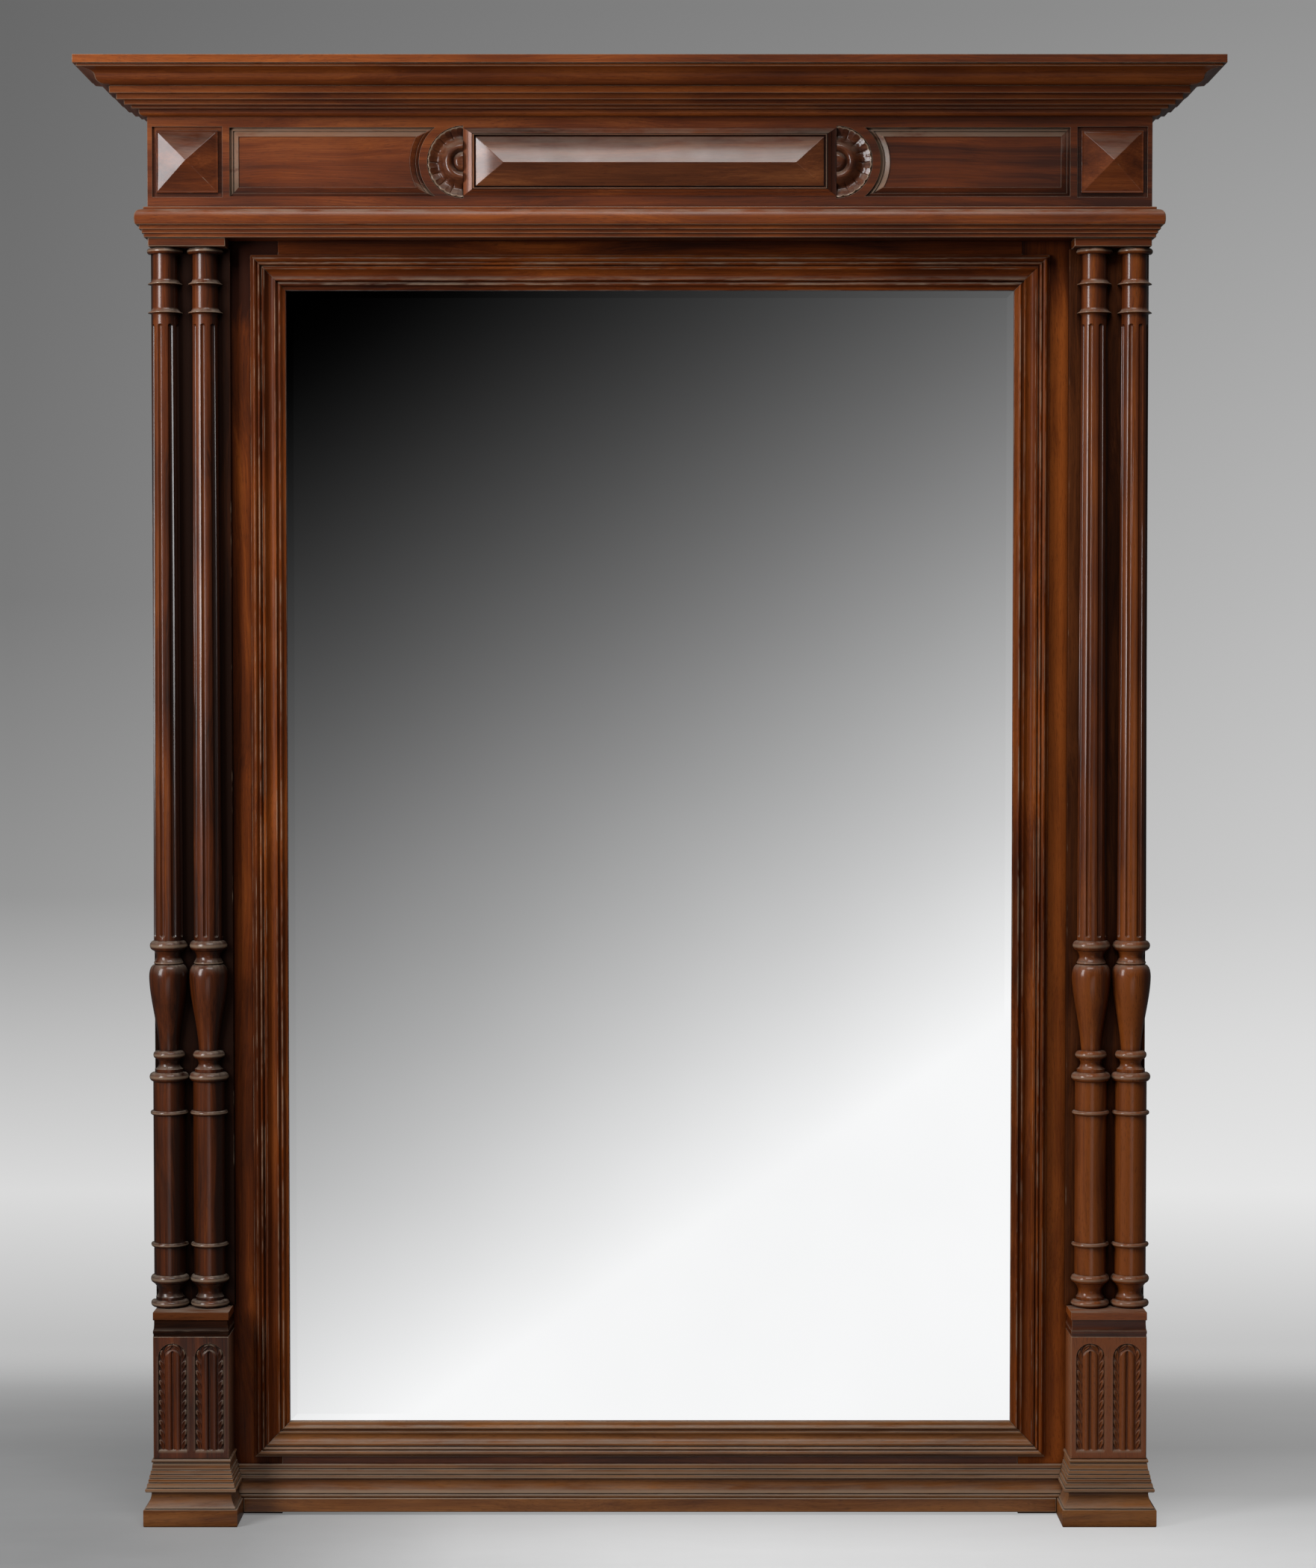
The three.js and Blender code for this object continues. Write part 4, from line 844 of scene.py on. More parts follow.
def pedestal_block(width, depth, height):
    """The arcaded block in mm: points (across, forward, up), faces, and worn arrises."""
    half, edge = width / 2, 1.0
    inner = ARCH_SPACING / 2 - ARCH_WIDTH / 2
    outer = ARCH_SPACING / 2 + ARCH_WIDTH / 2
    columns = lines((-half, -half + edge, EDGE_STEP),
                    (-half + edge, -outer - MARGIN, BESIDE_STEP),
                    (-outer - MARGIN, -inner + MARGIN, CARVED_STEP),
                    (-inner + MARGIN, inner - MARGIN, BETWEEN_STEP),
                    (inner - MARGIN, outer + MARGIN, CARVED_STEP),
                    (outer + MARGIN, half - edge, BESIDE_STEP), (half - edge, half, EDGE_STEP))
    spring = height - ARCH_TOP - ARCH_WIDTH / 2
    sill_end = ARCH_FOOT + 2.4
    crown = height - ARCH_TOP + MARGIN
    rows = lines((0, edge, EDGE_STEP), (edge, ARCH_FOOT - MARGIN, BETWEEN_STEP),
                 (ARCH_FOOT - MARGIN, sill_end, CARVED_STEP), (sill_end, spring, STRAIGHT_STEP),
                 (spring, crown, CARVED_STEP), (crown, height - edge, BESIDE_STEP),
                 (height - edge, height, EDGE_STEP))
    points, arris = [], []
    for up in rows:
        for across in columns:
            rim = min(half - abs(across), up, height - up)
            drop = edge - math.sqrt(max(0.0, edge ** 2 - max(0.0, edge - rim) ** 2))
            carved = arch_height(abs(across) - ARCH_SPACING / 2, up, height)
            points.append((across, depth - drop + carved, up))
            reach = math.hypot(abs(across) - ARCH_SPACING / 2, max(0.0, up - spring))
            on_edge = abs(reach - ARCH_WIDTH / 2) < 0.5 and up > ARCH_FOOT
            on_sill = abs(up - ARCH_FOOT) < 0.5 and reach < ARCH_WIDTH / 2
            arris.append(0.6 if on_sill else 0.45 if rim < edge * 0.8 else 0.25 if on_edge else 0.0)
    count = len(columns)
    faces = [(row + i, row + i + 1, row + count + i + 1, row + count + i)
             for row in range(0, count * (len(rows) - 1), count) for i in range(count - 1)]
    last = count * (len(rows) - 1)
    rim_loop = (list(range(count)) + [row + count - 1 for row in range(count, last + 1, count)]
                + list(range(last + count - 2, last - 1, -1))
                + [row for row in range(last - count, 0, -count)])
    first_back = len(points)
    points += [(points[i][0], 0.0, points[i][2]) for i in rim_loop]
    arris += [0.0] * len(rim_loop)
    turns = len(rim_loop)
    for i in range(turns):
        after = (i + 1) % turns
        faces.append((rim_loop[i], first_back + i, first_back + after, rim_loop[after]))
    faces.append(tuple(range(first_back, first_back + turns)))
    return points, faces, arris


# One petal of the border, in mm: it grows from its root, leans outwards and rises to its tip
PETAL_ROOT = -1.5
PETAL_LENGTH = 14.0
PETAL_WIDTH = 7.2
PETAL_RISE = 2.4
PETAL_LEAN = 4.4
PETAL_ASIDE = 0.2
PETAL_STEPS = 9
PETAL_RIBS = 8
PETALS = 11                         # up one side of an arch


def leaf_unit():
    """One repeat of the border: a leaning petal with a cut vein and a rubbed outer half."""
    points, arris = [], []
    for i in range(PETAL_STEPS + 1):
        t = i / PETAL_STEPS
        swell = max(0.0, math.sin(math.pi * min(1.0, t ** 1.5)))
        half = PETAL_WIDTH / 2 * max(0.08, swell) ** 0.6
        lift = 0.3 + PETAL_RISE * t ** 1.2 * (1 - max(0.0, t - 0.8) ** 2 * 12)
        for j in range(PETAL_RIBS + 1):
            c = 2 * j / PETAL_RIBS - 1
            vein = -1.1 * swell * math.exp(-((c + 0.3) / 0.22) ** 2)
            crown = lift * (1 - 0.55 * abs(c) ** 2.2) + vein
            edge = abs(c) > 0.99
            points.append((PETAL_ASIDE + PETAL_LEAN * (t - 0.5) + c * half,
                           PETAL_ROOT + PETAL_LENGTH * t, -0.3 if edge else max(0.05, crown)))
            arris.append(0.6 if t > 0.6 and c > 0.1 and not edge else 0.0)
    across = PETAL_RIBS + 1
    last = PETAL_STEPS * across
    points += [(x, y + 0.25, -0.3) for x, y, _ in points[last:]]
    points += [(x, y - 0.1, -0.3) for x, y, _ in points[:across]]
    arris += [0.0] * (2 * across)
    faces = [(row + j, row + j + 1, row + across + j + 1, row + across + j)
             for row in range(0, last + across, across) for j in range(PETAL_RIBS)]
    root = last + 2 * across
    faces += [(root + j, root + j + 1, j + 1, j) for j in range(PETAL_RIBS)]
    left = [root] + [row for row in range(0, root, across)]
    right = [root + PETAL_RIBS] + [row + PETAL_RIBS for row in range(0, root, across)]
    faces.append(tuple(list(range(root, root + across)) + right[1:]
                       + list(range(root - 2, root - across - 1, -1)) + left[-2:0:-1])[::-1])
    mesh = bpy.data.meshes.new("carved_leaf")
    mesh.from_pydata([tuple(value * MM for value in point) for point in points], [], faces)
    write(mesh, "arris", arris)
    turn_outwards(mesh)
    return new_object("carved_leaf", mesh)


def border_tree():
    """Geometry Nodes: a row of leaves, bent up one side of an arch to its crown."""
    sizes = ("Pitch", "Straight", "Radius", "Foot")
    tree, entry, result = node_group(
        "leaf_border", [("Start", "Geometry"), ("Leaf", "Object"), ("Units", "Int"),
                        *((name, "Float") for name in sizes), ("Finish", "Material")],
        [("Border", "Geometry")], "GeometryNodeTree")
    step = tree.node("ShaderNodeCombineXYZ", Y=entry["Pitch"]).outputs[0]
    row = tree.node("GeometryNodeMeshLine", Count=entry["Units"], Offset=step).outputs[0]
    leaf = tree.node("GeometryNodeObjectInfo", Object=entry["Leaf"]).outputs["Geometry"]
    leaves = tree.node("GeometryNodeInstanceOnPoints", Points=row, Instance=leaf).outputs[0]
    real = tree.node("GeometryNodeRealizeInstances", Geometry=leaves).outputs[0]
    across, along, height = tree.split(tree.node("GeometryNodeInputPosition").outputs[0])
    angle = tree.math("DIVIDE", tree.math("MAXIMUM", tree.math(
        "SUBTRACT", along, entry["Straight"]), 0.0), entry["Radius"])
    reach = tree.math("ADD", entry["Radius"], across)
    up = tree.math("ADD", entry["Foot"], tree.math("MINIMUM", along, entry["Straight"]))
    bent = tree.node(
        "ShaderNodeCombineXYZ", X=tree.math("MULTIPLY", reach, tree.math("COSINE", angle)),
        Y=tree.math("ADD", up, tree.math("MULTIPLY", reach, tree.math("SINE", angle))),
        Z=height).outputs[0]
    placed_leaves = tree.node("GeometryNodeSetPosition", Geometry=real, Position=bent).outputs[0]
    done = tree.node("GeometryNodeSetMaterial", Geometry=placed_leaves,
                     Material=entry["Finish"]).outputs[0]
    tree.feed(result["Border"], done)
    return tree.tree


def half_border(block_height, leaf, tree):
    """The leaves up one side of an arch, as a flat mesh: across, up and height in metres."""
    radius = (ARCH_WIDTH - ARCH_BORDER) / 2
    straight = block_height - ARCH_TOP - ARCH_WIDTH / 2 - ARCH_FOOT - 1.2
    start = new_object("border_row", bpy.data.meshes.new("border_row"))
    made_solid(start, tree, {
        "Leaf": leaf, "Units": PETALS, "Pitch": (straight + radius * math.pi / 2) / PETALS * MM,
        "Straight": straight * MM, "Radius": radius * MM, "Foot": (ARCH_FOOT + 1.2) * MM,
        "Finish": CARVED})
    mesh = start.data
    worn = [value.value for value in mesh.attributes["arris"].data]
    points = [vertex.co.copy() for vertex in mesh.vertices]
    faces = [tuple(polygon.vertices) for polygon in mesh.polygons]
    bpy.data.objects.remove(start)
    bpy.data.meshes.remove(mesh)
    return points, faces, worn


def pedestal(side, seed, leaf, tree, tone):
    node = f"pedestal_{side}"
    low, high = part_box(node)
    width, depth, height = ((high[i] - low[i]) / MM for i in range(3))
    points, faces, arris = pedestal_block(width, depth, height)
    middle = (low.x + high.x) / 2
    corners = [(middle + x * MM, high.y - y * MM, low.z + z * MM) for x, y, z in points]
    border, border_faces, border_arris = half_border(height, leaf, tree)
    floor = low.y + ARCH_SINKING * MM
    for arch in (-1, 1):
        for mirror in (-1, 1):
            first = len(corners)
            line = middle + arch * ARCH_SPACING / 2 * MM
            corners += [(line + mirror * point.x, floor - point.z, low.z + point.y)
                        for point in border]
            faces += [tuple(first + i for i in face) for face in border_faces]
            arris += border_arris
    return made_afresh(node, "_carved", corners, faces, arris, [tone] * len(corners), crease=50,
                       grain="z", seed=seed, finish_material=CARVED)


# ---- The wooden pieces copied from their construction solids --------------------------------

# Grain axis, rounding in mm and tone of each, or of the left and the right one; dark is
# negative, warm and light is positive
PLAIN_PIECES = {
    "top_board": ("x", 1.5, 0.5),
    "crown_front": ("x", 0.5, 0.4),
    "bed_moulding_front": ("x", 0.45, 0.5),
    "frieze_board": ("x", 0.45, 0.5),
    "frieze_soffit": ("x", 0.8, -0.5),
    "centre_boss": ("x", 0.6, -0.1),
    "architrave_front": ("x", 0.5, 0.1),
    "top_rail": ("x", 0.8, -0.1),
    "bottom_rail": ("x", 0.8, -0.2),
    "sight_moulding_top": ("x", 0.4, 0.0),
    "sight_moulding_bottom": ("x", 0.5, 0.8),
    "rail_plinth": ("x", 1.2, 0.6),
}
PLAIN_PAIRS = {
    "crown_{}": ("y", 0.5, 0.2),
    "bed_moulding_{}": ("y", 0.45, 0.1),
    "frieze_return_{}": ("y", 0.8, 0.0),
    "corner_boss_{}": ("x", 0.5, -0.1),
    "architrave_{}": ("y", 0.5, 0.1),
    "abacus_{}": ("x", 0.8, 0.0),
    "stile_{}": ("z", 0.8, -0.3, 1.2),
    "sight_moulding_{}": ("z", 0.4, 0.3, 0.5),
    # pilasters: dark tones, painted shade, the left one darker
    "pilaster_{}": ("z", 0.8, -1.2, 0.4),
    "pedestal_cap_{}": ("x", 0.9, 1.4, 1.2),
}
OWN_FINISH = (
    (("sight_moulding_bottom",), BASE),
    (("stile", "top_rail", "frieze_soffit", "sight_moulding"), DULL),
    # Painted shade: the pilasters and the left pedestal cap take the very dark walnut
    (("pilaster", "pedestal_cap_left"), SHADED),
    (("rail_plinth",), BASE),
    (("corner_boss",), GLOSSY),
    (("centre_boss",), BRIGHT),
    (("frieze_board",), FRIEZE),
)
RIGHTWARDS = 0.7                    # painted shade: tone that the top board and the frieze lose for each metre rightwards
TONE_PLACE = -0.3                   # where along them they have their own tone, in metres
FRIEZE_PAINTED_SHADE_DOWN = 8.5                   # painted shade: tone that the frieze loses for each metre down
FRIEZE_TONE_HEIGHT = 1.745          # from this height
BORDER_PAINTED_SHEEN = 0.65                  # painted sheen of the border slopes towards the window and the ceiling

# Depths in mm under the frieze's face: the steps cut in the construction solid, and the finished
# border of a panel, which falls into a groove and rises again in two slopes to the field
CUT_STEP, CUT_BORDER, CUT_FIELD = 1.4, 3.0, 5.5
PANEL_LEVELS = {"groove": 4.6, "first_top": 2.5, "second_foot": 4.8, "second_top": 1.2,
                "field": 2.3}


def slope_panel_borders(work):
    """Turns the flat steps round the panels into slopes that rise to the field."""
    face = min(vertex.co.y for vertex in work.verts)
    depths = {}
    for vertex in work.verts:
        place = (round(vertex.co.x / MM, 1), round(vertex.co.z / MM, 1))
        depths.setdefault(place, []).append(round((vertex.co.y - face) / MM, 1))
    levels = {}
    for vertex in work.verts:
        depth = round((vertex.co.y - face) / MM, 1)
        twins = depths[(round(vertex.co.x / MM, 1), round(vertex.co.z / MM, 1))]
        if depth == CUT_STEP:
            levels[vertex] = "groove" if 0.0 in twins else "first_top"
        elif depth == CUT_BORDER and CUT_STEP in twins:
            levels[vertex] = "second_foot"
        elif depth == CUT_BORDER and CUT_FIELD in twins:
            levels[vertex] = "second_top"
        elif depth == CUT_FIELD:
            levels[vertex] = "field"
    for foot, top in (("groove", "first_top"), ("second_foot", "second_top")):
        flat = [ring for ring in work.faces
                if {levels.get(vertex) for vertex in ring.verts} == {foot, top}]
        bmesh.ops.delete(work, geom=flat, context="FACES")
        for sign in (-1, 1):
            outer, inner = ([vertex for vertex, level in levels.items()
                             if level == wanted and vertex.co.x * sign > 0]
                            for wanted in (foot, top))
            for chains in zip(panel_sides(outer), panel_sides(inner)):
                bridge(work, *chains)
    for vertex, level in levels.items():
        vertex.co.y = face + PANEL_LEVELS[level] * MM


def panel_sides(loop):
    """The four sides of a panel's outline: its top, foot, straight end and hollow end."""
    reach = max(abs(vertex.co.x) for vertex in loop)
    high, low = (pick(vertex.co.z for vertex in loop) for pick in (max, min))
    top, foot = (sorted((vertex for vertex in loop if abs(vertex.co.z - level) < 0.05 * MM),
                        key=lambda vertex: -abs(vertex.co.x)) for level in (high, low))
    end = sorted((vertex for vertex in loop if reach - abs(vertex.co.x) < 0.05 * MM),
                 key=lambda vertex: vertex.co.z)
    straight = set(top[:-1] + foot[:-1] + end)
    hollow = sorted((vertex for vertex in loop if vertex not in straight),
                    key=lambda vertex: vertex.co.z)
    return top, foot, end, hollow


def bridge(work, outer, inner):
    """A strip of triangles between two chains of points, facing forwards."""
    i = j = 0
    while i < len(outer) - 1 or j < len(inner) - 1:
        ahead = i < len(outer) - 1 and (j == len(inner) - 1
                                        or (i + 1) * (len(inner) - 1) <= (j + 1) * (len(outer) - 1))
        corners = (outer[i], outer[i + 1] if ahead else inner[j + 1], inner[j])
        i, j = (i + 1, j) if ahead else (i, j + 1)
        strip = work.faces.new(corners)
        strip.normal_update()
        if strip.normal.y > 0:
            strip.normal_flip()


def shade_frieze(obj, tone):
    """The frieze darkens downwards and rightwards in painted shade, and the slopes of its borders
    that face the window and the ceiling take a painted sheen.
    """
    tone_by_place(obj, lambda place: tone - RIGHTWARDS * (place.x - TONE_PLACE)
                  - FRIEZE_PAINTED_SHADE_DOWN * (FRIEZE_TONE_HEIGHT - place.z))
    # Painted sheen: the slopes that face the window or the ceiling take the rubbed-wood colour
    # through the arris attribute
    arris = obj.data.attributes["arris"].data
    for polygon in obj.data.polygons:
        x, y, z = polygon.normal
        sloping = -0.97 < y < -0.6
        if sloping and (x < -0.25 or z > 0.25):
            for loop in polygon.loop_indices:
                arris[loop].value = BORDER_PAINTED_SHEEN


def shade_top_board(obj, tone):
    """The top board darkens rightwards, in painted shade."""
    tone_by_place(obj, lambda place: tone - RIGHTWARDS * (place.x - TONE_PLACE))


RIDGE_INSET = 4.5                   # the centre boss's ridge is this much shorter at each end
RIDGE_DROP = 3.5                    # and lies this much lower than its middle line


def settle_ridge(work):
    """The ridge of the centre boss, hand-planed a little short and low."""
    face = min(vertex.co.y for vertex in work.verts)
    for vertex in work.verts:
        if vertex.co.y - face < 0.1 * MM:
            vertex.co.x -= math.copysign(RIDGE_INSET * MM, vertex.co.x)
            vertex.co.z -= RIDGE_DROP * MM


STILE_SHADE = (1480, 1545, 1.5)     # heights between which a stile loses so much tone, in painted shade under the top rail


def slice_stile(work):
    """Gives a stile points at the heights between which its tone changes."""
    for height in STILE_SHADE[:2]:
        bmesh.ops.bisect_plane(work, geom=work.verts[:] + work.edges[:] + work.faces[:],
                               plane_co=(0, 0, height * MM), plane_no=(0, 0, 1))


def shade_stile(obj, tone):
    """A stile is darker at its head, next to the top rail, in painted shade."""
    low, high, loss = STILE_SHADE
    tone_by_place(obj, lambda place: tone - loss * faded(place.z / MM, low, high))


CAP_HOLLOW = 0.4                    # share that is left of the hollow of a pedestal cap
CAP_SHADE = (19.5, 21.0, 2.2)       # heights between which its face grows lighter by so much tone, out of the painted shade under its slab


def flatten_cap(work):
    """The caps have only a shallow hollow under their edge."""
    low = Vector(min(vertex.co[i] for vertex in work.verts) for i in range(3))
    high = Vector(max(vertex.co[i] for vertex in work.verts) for i in range(3))
    for vertex in work.verts:
        x, y, _ = vertex.co
        if y - low.y < 6 * MM:
            vertex.co.y = low.y + (y - low.y) * CAP_HOLLOW
        for end in (low.x, high.x):
            if abs(x - end) < 6 * MM:
                vertex.co.x = end + (x - end) * CAP_HOLLOW


def shade_cap(obj, tone):
    """The lower part of a cap's face is darker, in painted shade under its slab."""
    foot = min(vertex.co.z for vertex in obj.data.vertices)
    low, high, loss = CAP_SHADE
    tone_by_place(obj, lambda place: tone - loss * (1 - faded((place.z - foot) / MM, low, high)))


def make_woodwork():
    reshapes = {"frieze_board": slope_panel_borders, "centre_boss": settle_ridge,
                "stile": slice_stile, "pedestal_cap": flatten_cap}
    shades = {"frieze_board": shade_frieze, "top_board": shade_top_board, "stile": shade_stile,
              "pedestal_cap": shade_cap}
    pieces = dict(PLAIN_PIECES)
    for pattern, (along, rounding, *tones) in PLAIN_PAIRS.items():
        for (side, _), tone in zip(SIDES, tones * 2 if len(tones) == 1 else tones):
            pieces[pattern.format(side)] = (along, rounding, tone)

    def own(choices, node):
        return next((choice for names, choice in choices if node.startswith(names)), None)

    for seed, (node, (along, rounding, tone)) in enumerate(pieces.items()):
        obj = eased(node, rounding, along, seed, tone, own(OWN_FINISH, node) or WALNUT,
                    reshape=own(reshapes.items(), node))
        shade = own(shades.items(), node)
        if shade:
            shade(obj, tone)


# ---- Mitred mouldings made afresh -----------------------------------------------------------

# Round the centre boss, from the inner edge outwards: [share of the width, height in mm]. The
# moulding stands highest beside the boss and falls outwards in two slopes.
SURROUND_SECTION = ((0.0, 0.0), (0.0, 4.4), (0.03, 4.9), (0.10, 4.9), (0.14, 4.3), (0.14, 3.3),
                    (0.20, 3.3), (0.22, 4.5), (0.53, 2.7), (0.53, 1.9), (0.57, 2.1), (0.94, 0.4),
                    (1.0, 0.4), (1.0, 0.0))
# Tones of the four members, with painted light and shade: the left one lighter, the right one much
# darker
SURROUND_PAINTED_LIGHT_AND_SHADE = {"left": 0.3, "right": -2.4, "top": -0.4, "bottom": -0.5}
SURROUND_WORN = {3}                 # places in that section with a rubbed arris


def boss_surround(edge, sign, seed):
    """One mitred moulding of the surround, in the place of its construction solid."""
    node = f"boss_surround_{edge}"
    low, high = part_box(node)
    upright = edge in ("left", "right")
    across, along = (0, 2) if upright else (2, 0)
    inner, outer = (low[across], high[across]) if sign > 0 else (high[across], low[across])
    other_low, other_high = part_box("boss_surround_top" if upright else "boss_surround_right")
    other_width = (other_high[along] - other_low[along])
    middle = (low[along] + high[along]) / 2
    half = (high[along] - low[along]) / 2
    corners, arris = [], []
    for end in (-1, 1):
        for i, (share, up) in enumerate(SURROUND_SECTION):
            place = [0.0, high.y - up * MM, 0.0]
            place[across] = inner + (outer - inner) * share
            place[along] = middle + end * (half - other_width * (1 - share))
            corners.append(place)
            arris.append(1.0 if i in SURROUND_WORN else 0.0)
    count = len(SURROUND_SECTION)
    faces = [(i, i + 1, count + i + 1, count + i) for i in range(count - 1)]
    faces += [(count - 1, 0, count, 2 * count - 1), tuple(range(count)),
              tuple(range(count, 2 * count))]
    return made_afresh(node, "_run", corners, faces, arris, [SURROUND_PAINTED_LIGHT_AND_SHADE[edge]] * len(corners),
                       crease=24, grain="z" if upright else "x", seed=seed,
                       finish_material=FRIEZE)


# Profiles of the base from the foot up: [height, projection over the upper face], in mm
PLINTH_SECTION = (
    (0, 9.4), (0.7, 10.1), (1.8, 10.4), (20.2, 10.4), (21.1, 10.1), (21.6, 9.4), (21.8, 7.6),
    (22.5, 7.4), (22.9, 8.0), (23.6, 7.7), (25, 6.5), (27.5, 4.9), (30.5, 3.5), (34, 2.3),
    (37.5, 1.5), (40, 1.2), (41.6, 1.5), (42.4, 2.4), (42.7, 6.8), (43.4, 7.9), (45, 8.4),
    (46.5, 8.1), (47.1, 7.5), (47.3, 5.8), (48, 5.5), (48.4, 6.4), (50.5, 6.4), (52.9, 5.8),
    (53.4, 5.2), (53.5, 3.6), (54.2, 3.4), (54.6, 4.5), (56.6, 4.6), (58.1, 4.4), (58.6, 3.9),
    (58.8, 2.4), (59.5, 2.3), (59.9, 3.7), (63, 3.4), (63.5, 3), (63.7, 1.7), (64.4, 1.6),
    (64.8, 2.5), (68.1, 2), (68.5, 1.6), (68.7, 0.4), (69.4, 0.3), (69.8, 1), (73, 0.5), (77, 0.1),
    (77.3, -0.9), (78.3, -0.9), (78.5, 0.9), (79.2, 1.2), (81.2, 1.2), (82.2, 0.5))
RAIL_SECTION = (
    (0, 8.6), (0.8, 9), (3.2, 9), (3.8, 8.4), (4, 6.4), (4.8, 6.2), (5.2, 6.9), (7.5, 6.1),
    (10, 4.5), (13, 3), (16.5, 1.9), (20, 1.4), (22.4, 1.6), (23, 2.2), (23.2, 4.8), (24, 5.6),
    (25.4, 5.8), (27, 5.5), (27.5, 4.9), (27.7, 3.3), (28.4, 3.2), (28.8, 4.2), (31, 4.5),
    (33.2, 4.1), (34.4, 3.4), (34.6, 1.9), (35.4, 1.8), (35.8, 2.9), (38, 3.1), (40.4, 2.9),
    (41, 2.2))
GROOVE_PAINTED_SHADE = 3.5                  # painted shade: tone lost in the bottom of a groove
UPPER_FACE = 10.4                   # of a plinth, so far inside its box


def profiled(node, section, plan, tone, grain, seed, finish_material):
    """A solid drawn from its foot up: plan(height, projection) gives the outline at a level."""
    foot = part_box(node)[0].z
    corners, arris, tones = [], [], []
    for i, (up, out) in enumerate(section):
        before, after = section[max(0, i - 1)][1], section[min(len(section) - 1, i + 1)][1]
        level = (before + after) / 2
        worn = 1.0 if out > level + 0.22 else 0.0
        sunk = out < level - 0.4
        outline = plan(up, out)
        corners += [(x, y, foot + up * MM) for x, y in outline]
        arris += [worn] * len(outline)
        # Painted shade in the bottoms of the grooves
        tones += [tone - (GROOVE_PAINTED_SHADE if sunk else 0.0)] * len(outline)
    count, last = len(outline), len(corners) - len(outline)
    faces = [(ring + i, ring + (i + 1) % count, ring + count + (i + 1) % count, ring + count + i)
             for ring in range(0, last, count) for i in range(count)]
    faces += [tuple(range(count)), tuple(range(last, last + count))]
    return made_afresh(node, "_run", corners, faces, arris, tones, crease=30, grain=grain,
                       seed=seed, finish_material=finish_material)


def plinth(side, sign, tone, seed):
    """The plinth of an order, notched behind for the stile."""
    node = f"plinth_{side}"
    low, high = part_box(node)
    outer, inner = (low.x, high.x) if sign < 0 else (high.x, low.x)
    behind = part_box(f"stile_{side}")[0].y                       # face of the frame
    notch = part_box(f"stile_{side}")[0 if sign < 0 else 1].x + sign * FIT * MM

    def plan(_, out):
        inset = (UPPER_FACE - out) * MM
        near, far, front = outer - sign * inset, inner + sign * inset, low.y + inset
        return ((near, high.y), (near, front), (far, front), (far, behind), (notch, behind),
                (notch, high.y))

    return profiled(node, PLINTH_SECTION, plan, tone, "x", seed, BASE)


def projection(section, height):
    """Projection of a section at a height."""
    for (z0, p0), (z1, p1) in pairwise(section):
        if height <= z1:
            return p0 + (p1 - p0) * (height - z0) / max(z1 - z0, 0.001)
    return section[-1][1]


def rail_base(seed):
    """The base moulding of the bottom rail, scribed to the plinths at its ends."""
    node = "rail_base_moulding"
    low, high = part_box(node)
    deepest = max(out for _, out in RAIL_SECTION)
    plinth_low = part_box("plinth_right")[0]

    def plan(up, out):
        height = (low.z - plinth_low.z) / MM + up
        end = plinth_low.x + (UPPER_FACE - projection(PLINTH_SECTION, height) - FIT) * MM
        front = low.y + (deepest - out) * MM
        return ((-end, high.y), (-end, front), (end, front), (end, high.y))

    return profiled(node, RAIL_SECTION, plan, RAIL_BASE_TONE, "x", seed, BASE)


def make_back():
    planks = [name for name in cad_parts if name.startswith("back_plank_")]
    for seed, node in enumerate(sorted(planks)):
        eased(node, 0.8, "z", SEEDS["back_plank"] + seed, 0.0, SOFTWOOD)
    for seed, (edge, along) in enumerate((("top", "x"), ("bottom", "x"), ("left", "z"),
                                          ("right", "z"))):
        eased(f"glass_stop_{edge}", 0.6, along, SEEDS["glass_stop"] + seed, 0.0, SOFTWOOD)


def make_nails():
    for name in ("left", "middle", "right"):
        node = f"bent_nail_{name}"
        mesh = closed_copy(open_copy(node), node + "_rusted")
        mark_creases(mesh, math.radians(65))
        finish(new_object(node + "_rusted", mesh), node, IRON)


def make_carving():
    flutes = flute_tree()
    border = border_tree()
    leaf = leaf_unit()
    for index, (side, sign) in enumerate(SIDES):
        for order, place in enumerate(("outer", "inner")):
            column(side, place, SEEDS["column"] + 2 * index + order, flutes)
        pedestal(side, SEEDS["pedestal"] + index, leaf, border, PEDESTAL_TONES[side])
        rosette(side, sign, SEEDS["rosette"] + index)
    for index, (edge, sign) in enumerate((("left", -1), ("right", 1), ("bottom", -1), ("top", 1))):
        boss_surround(edge, sign, SEEDS["boss_surround"] + index)
    for index, (side, sign) in enumerate(SIDES):
        plinth(side, sign, PLINTH_TONES[side], SEEDS["plinth"] + index)
    rail_base(SEEDS["rail_base"])
    bpy.data.objects.remove(leaf)


PLATE_BEVEL = 0.04                  # share of the construction bevel's depth that shows


def make_plate():
    """The plate with a slight bevel, which only shows as a thin change at the edge."""
    work = open_copy("mirror_glass")
    face = min(vertex.co.y for vertex in work.verts)
    back = max(vertex.co.y for vertex in work.verts)
    for vertex in work.verts:
        if vertex.co.y < back - 0.1 * MM:
            vertex.co.y = face + (vertex.co.y - face) * PLATE_BEVEL
    mesh = closed_copy(work, "mirror_glass_silvered")
    finish(new_object("mirror_glass_silvered", mesh), "mirror_glass", PLATE)


make_woodwork()
make_back()
make_nails()
make_carving()
make_plate()


# ---- Stage ----------------------------------------------------------------------------------

# Backdrop tones (screen grey, 0 to 255) by slope of the view below the horizon, at the left
# and right edge of the picture
BACKDROP_SLOPES = (-0.200, -0.022, 0.069, 0.115, 0.160, 0.206, 0.300)
BACKDROP_LEFT = (104, 121, 150, 190, 218, 190, 176)
BACKDROP_RIGHT = (146, 184, 203, 220, 230, 196, 186)
BACKDROP_EDGE = 0.197
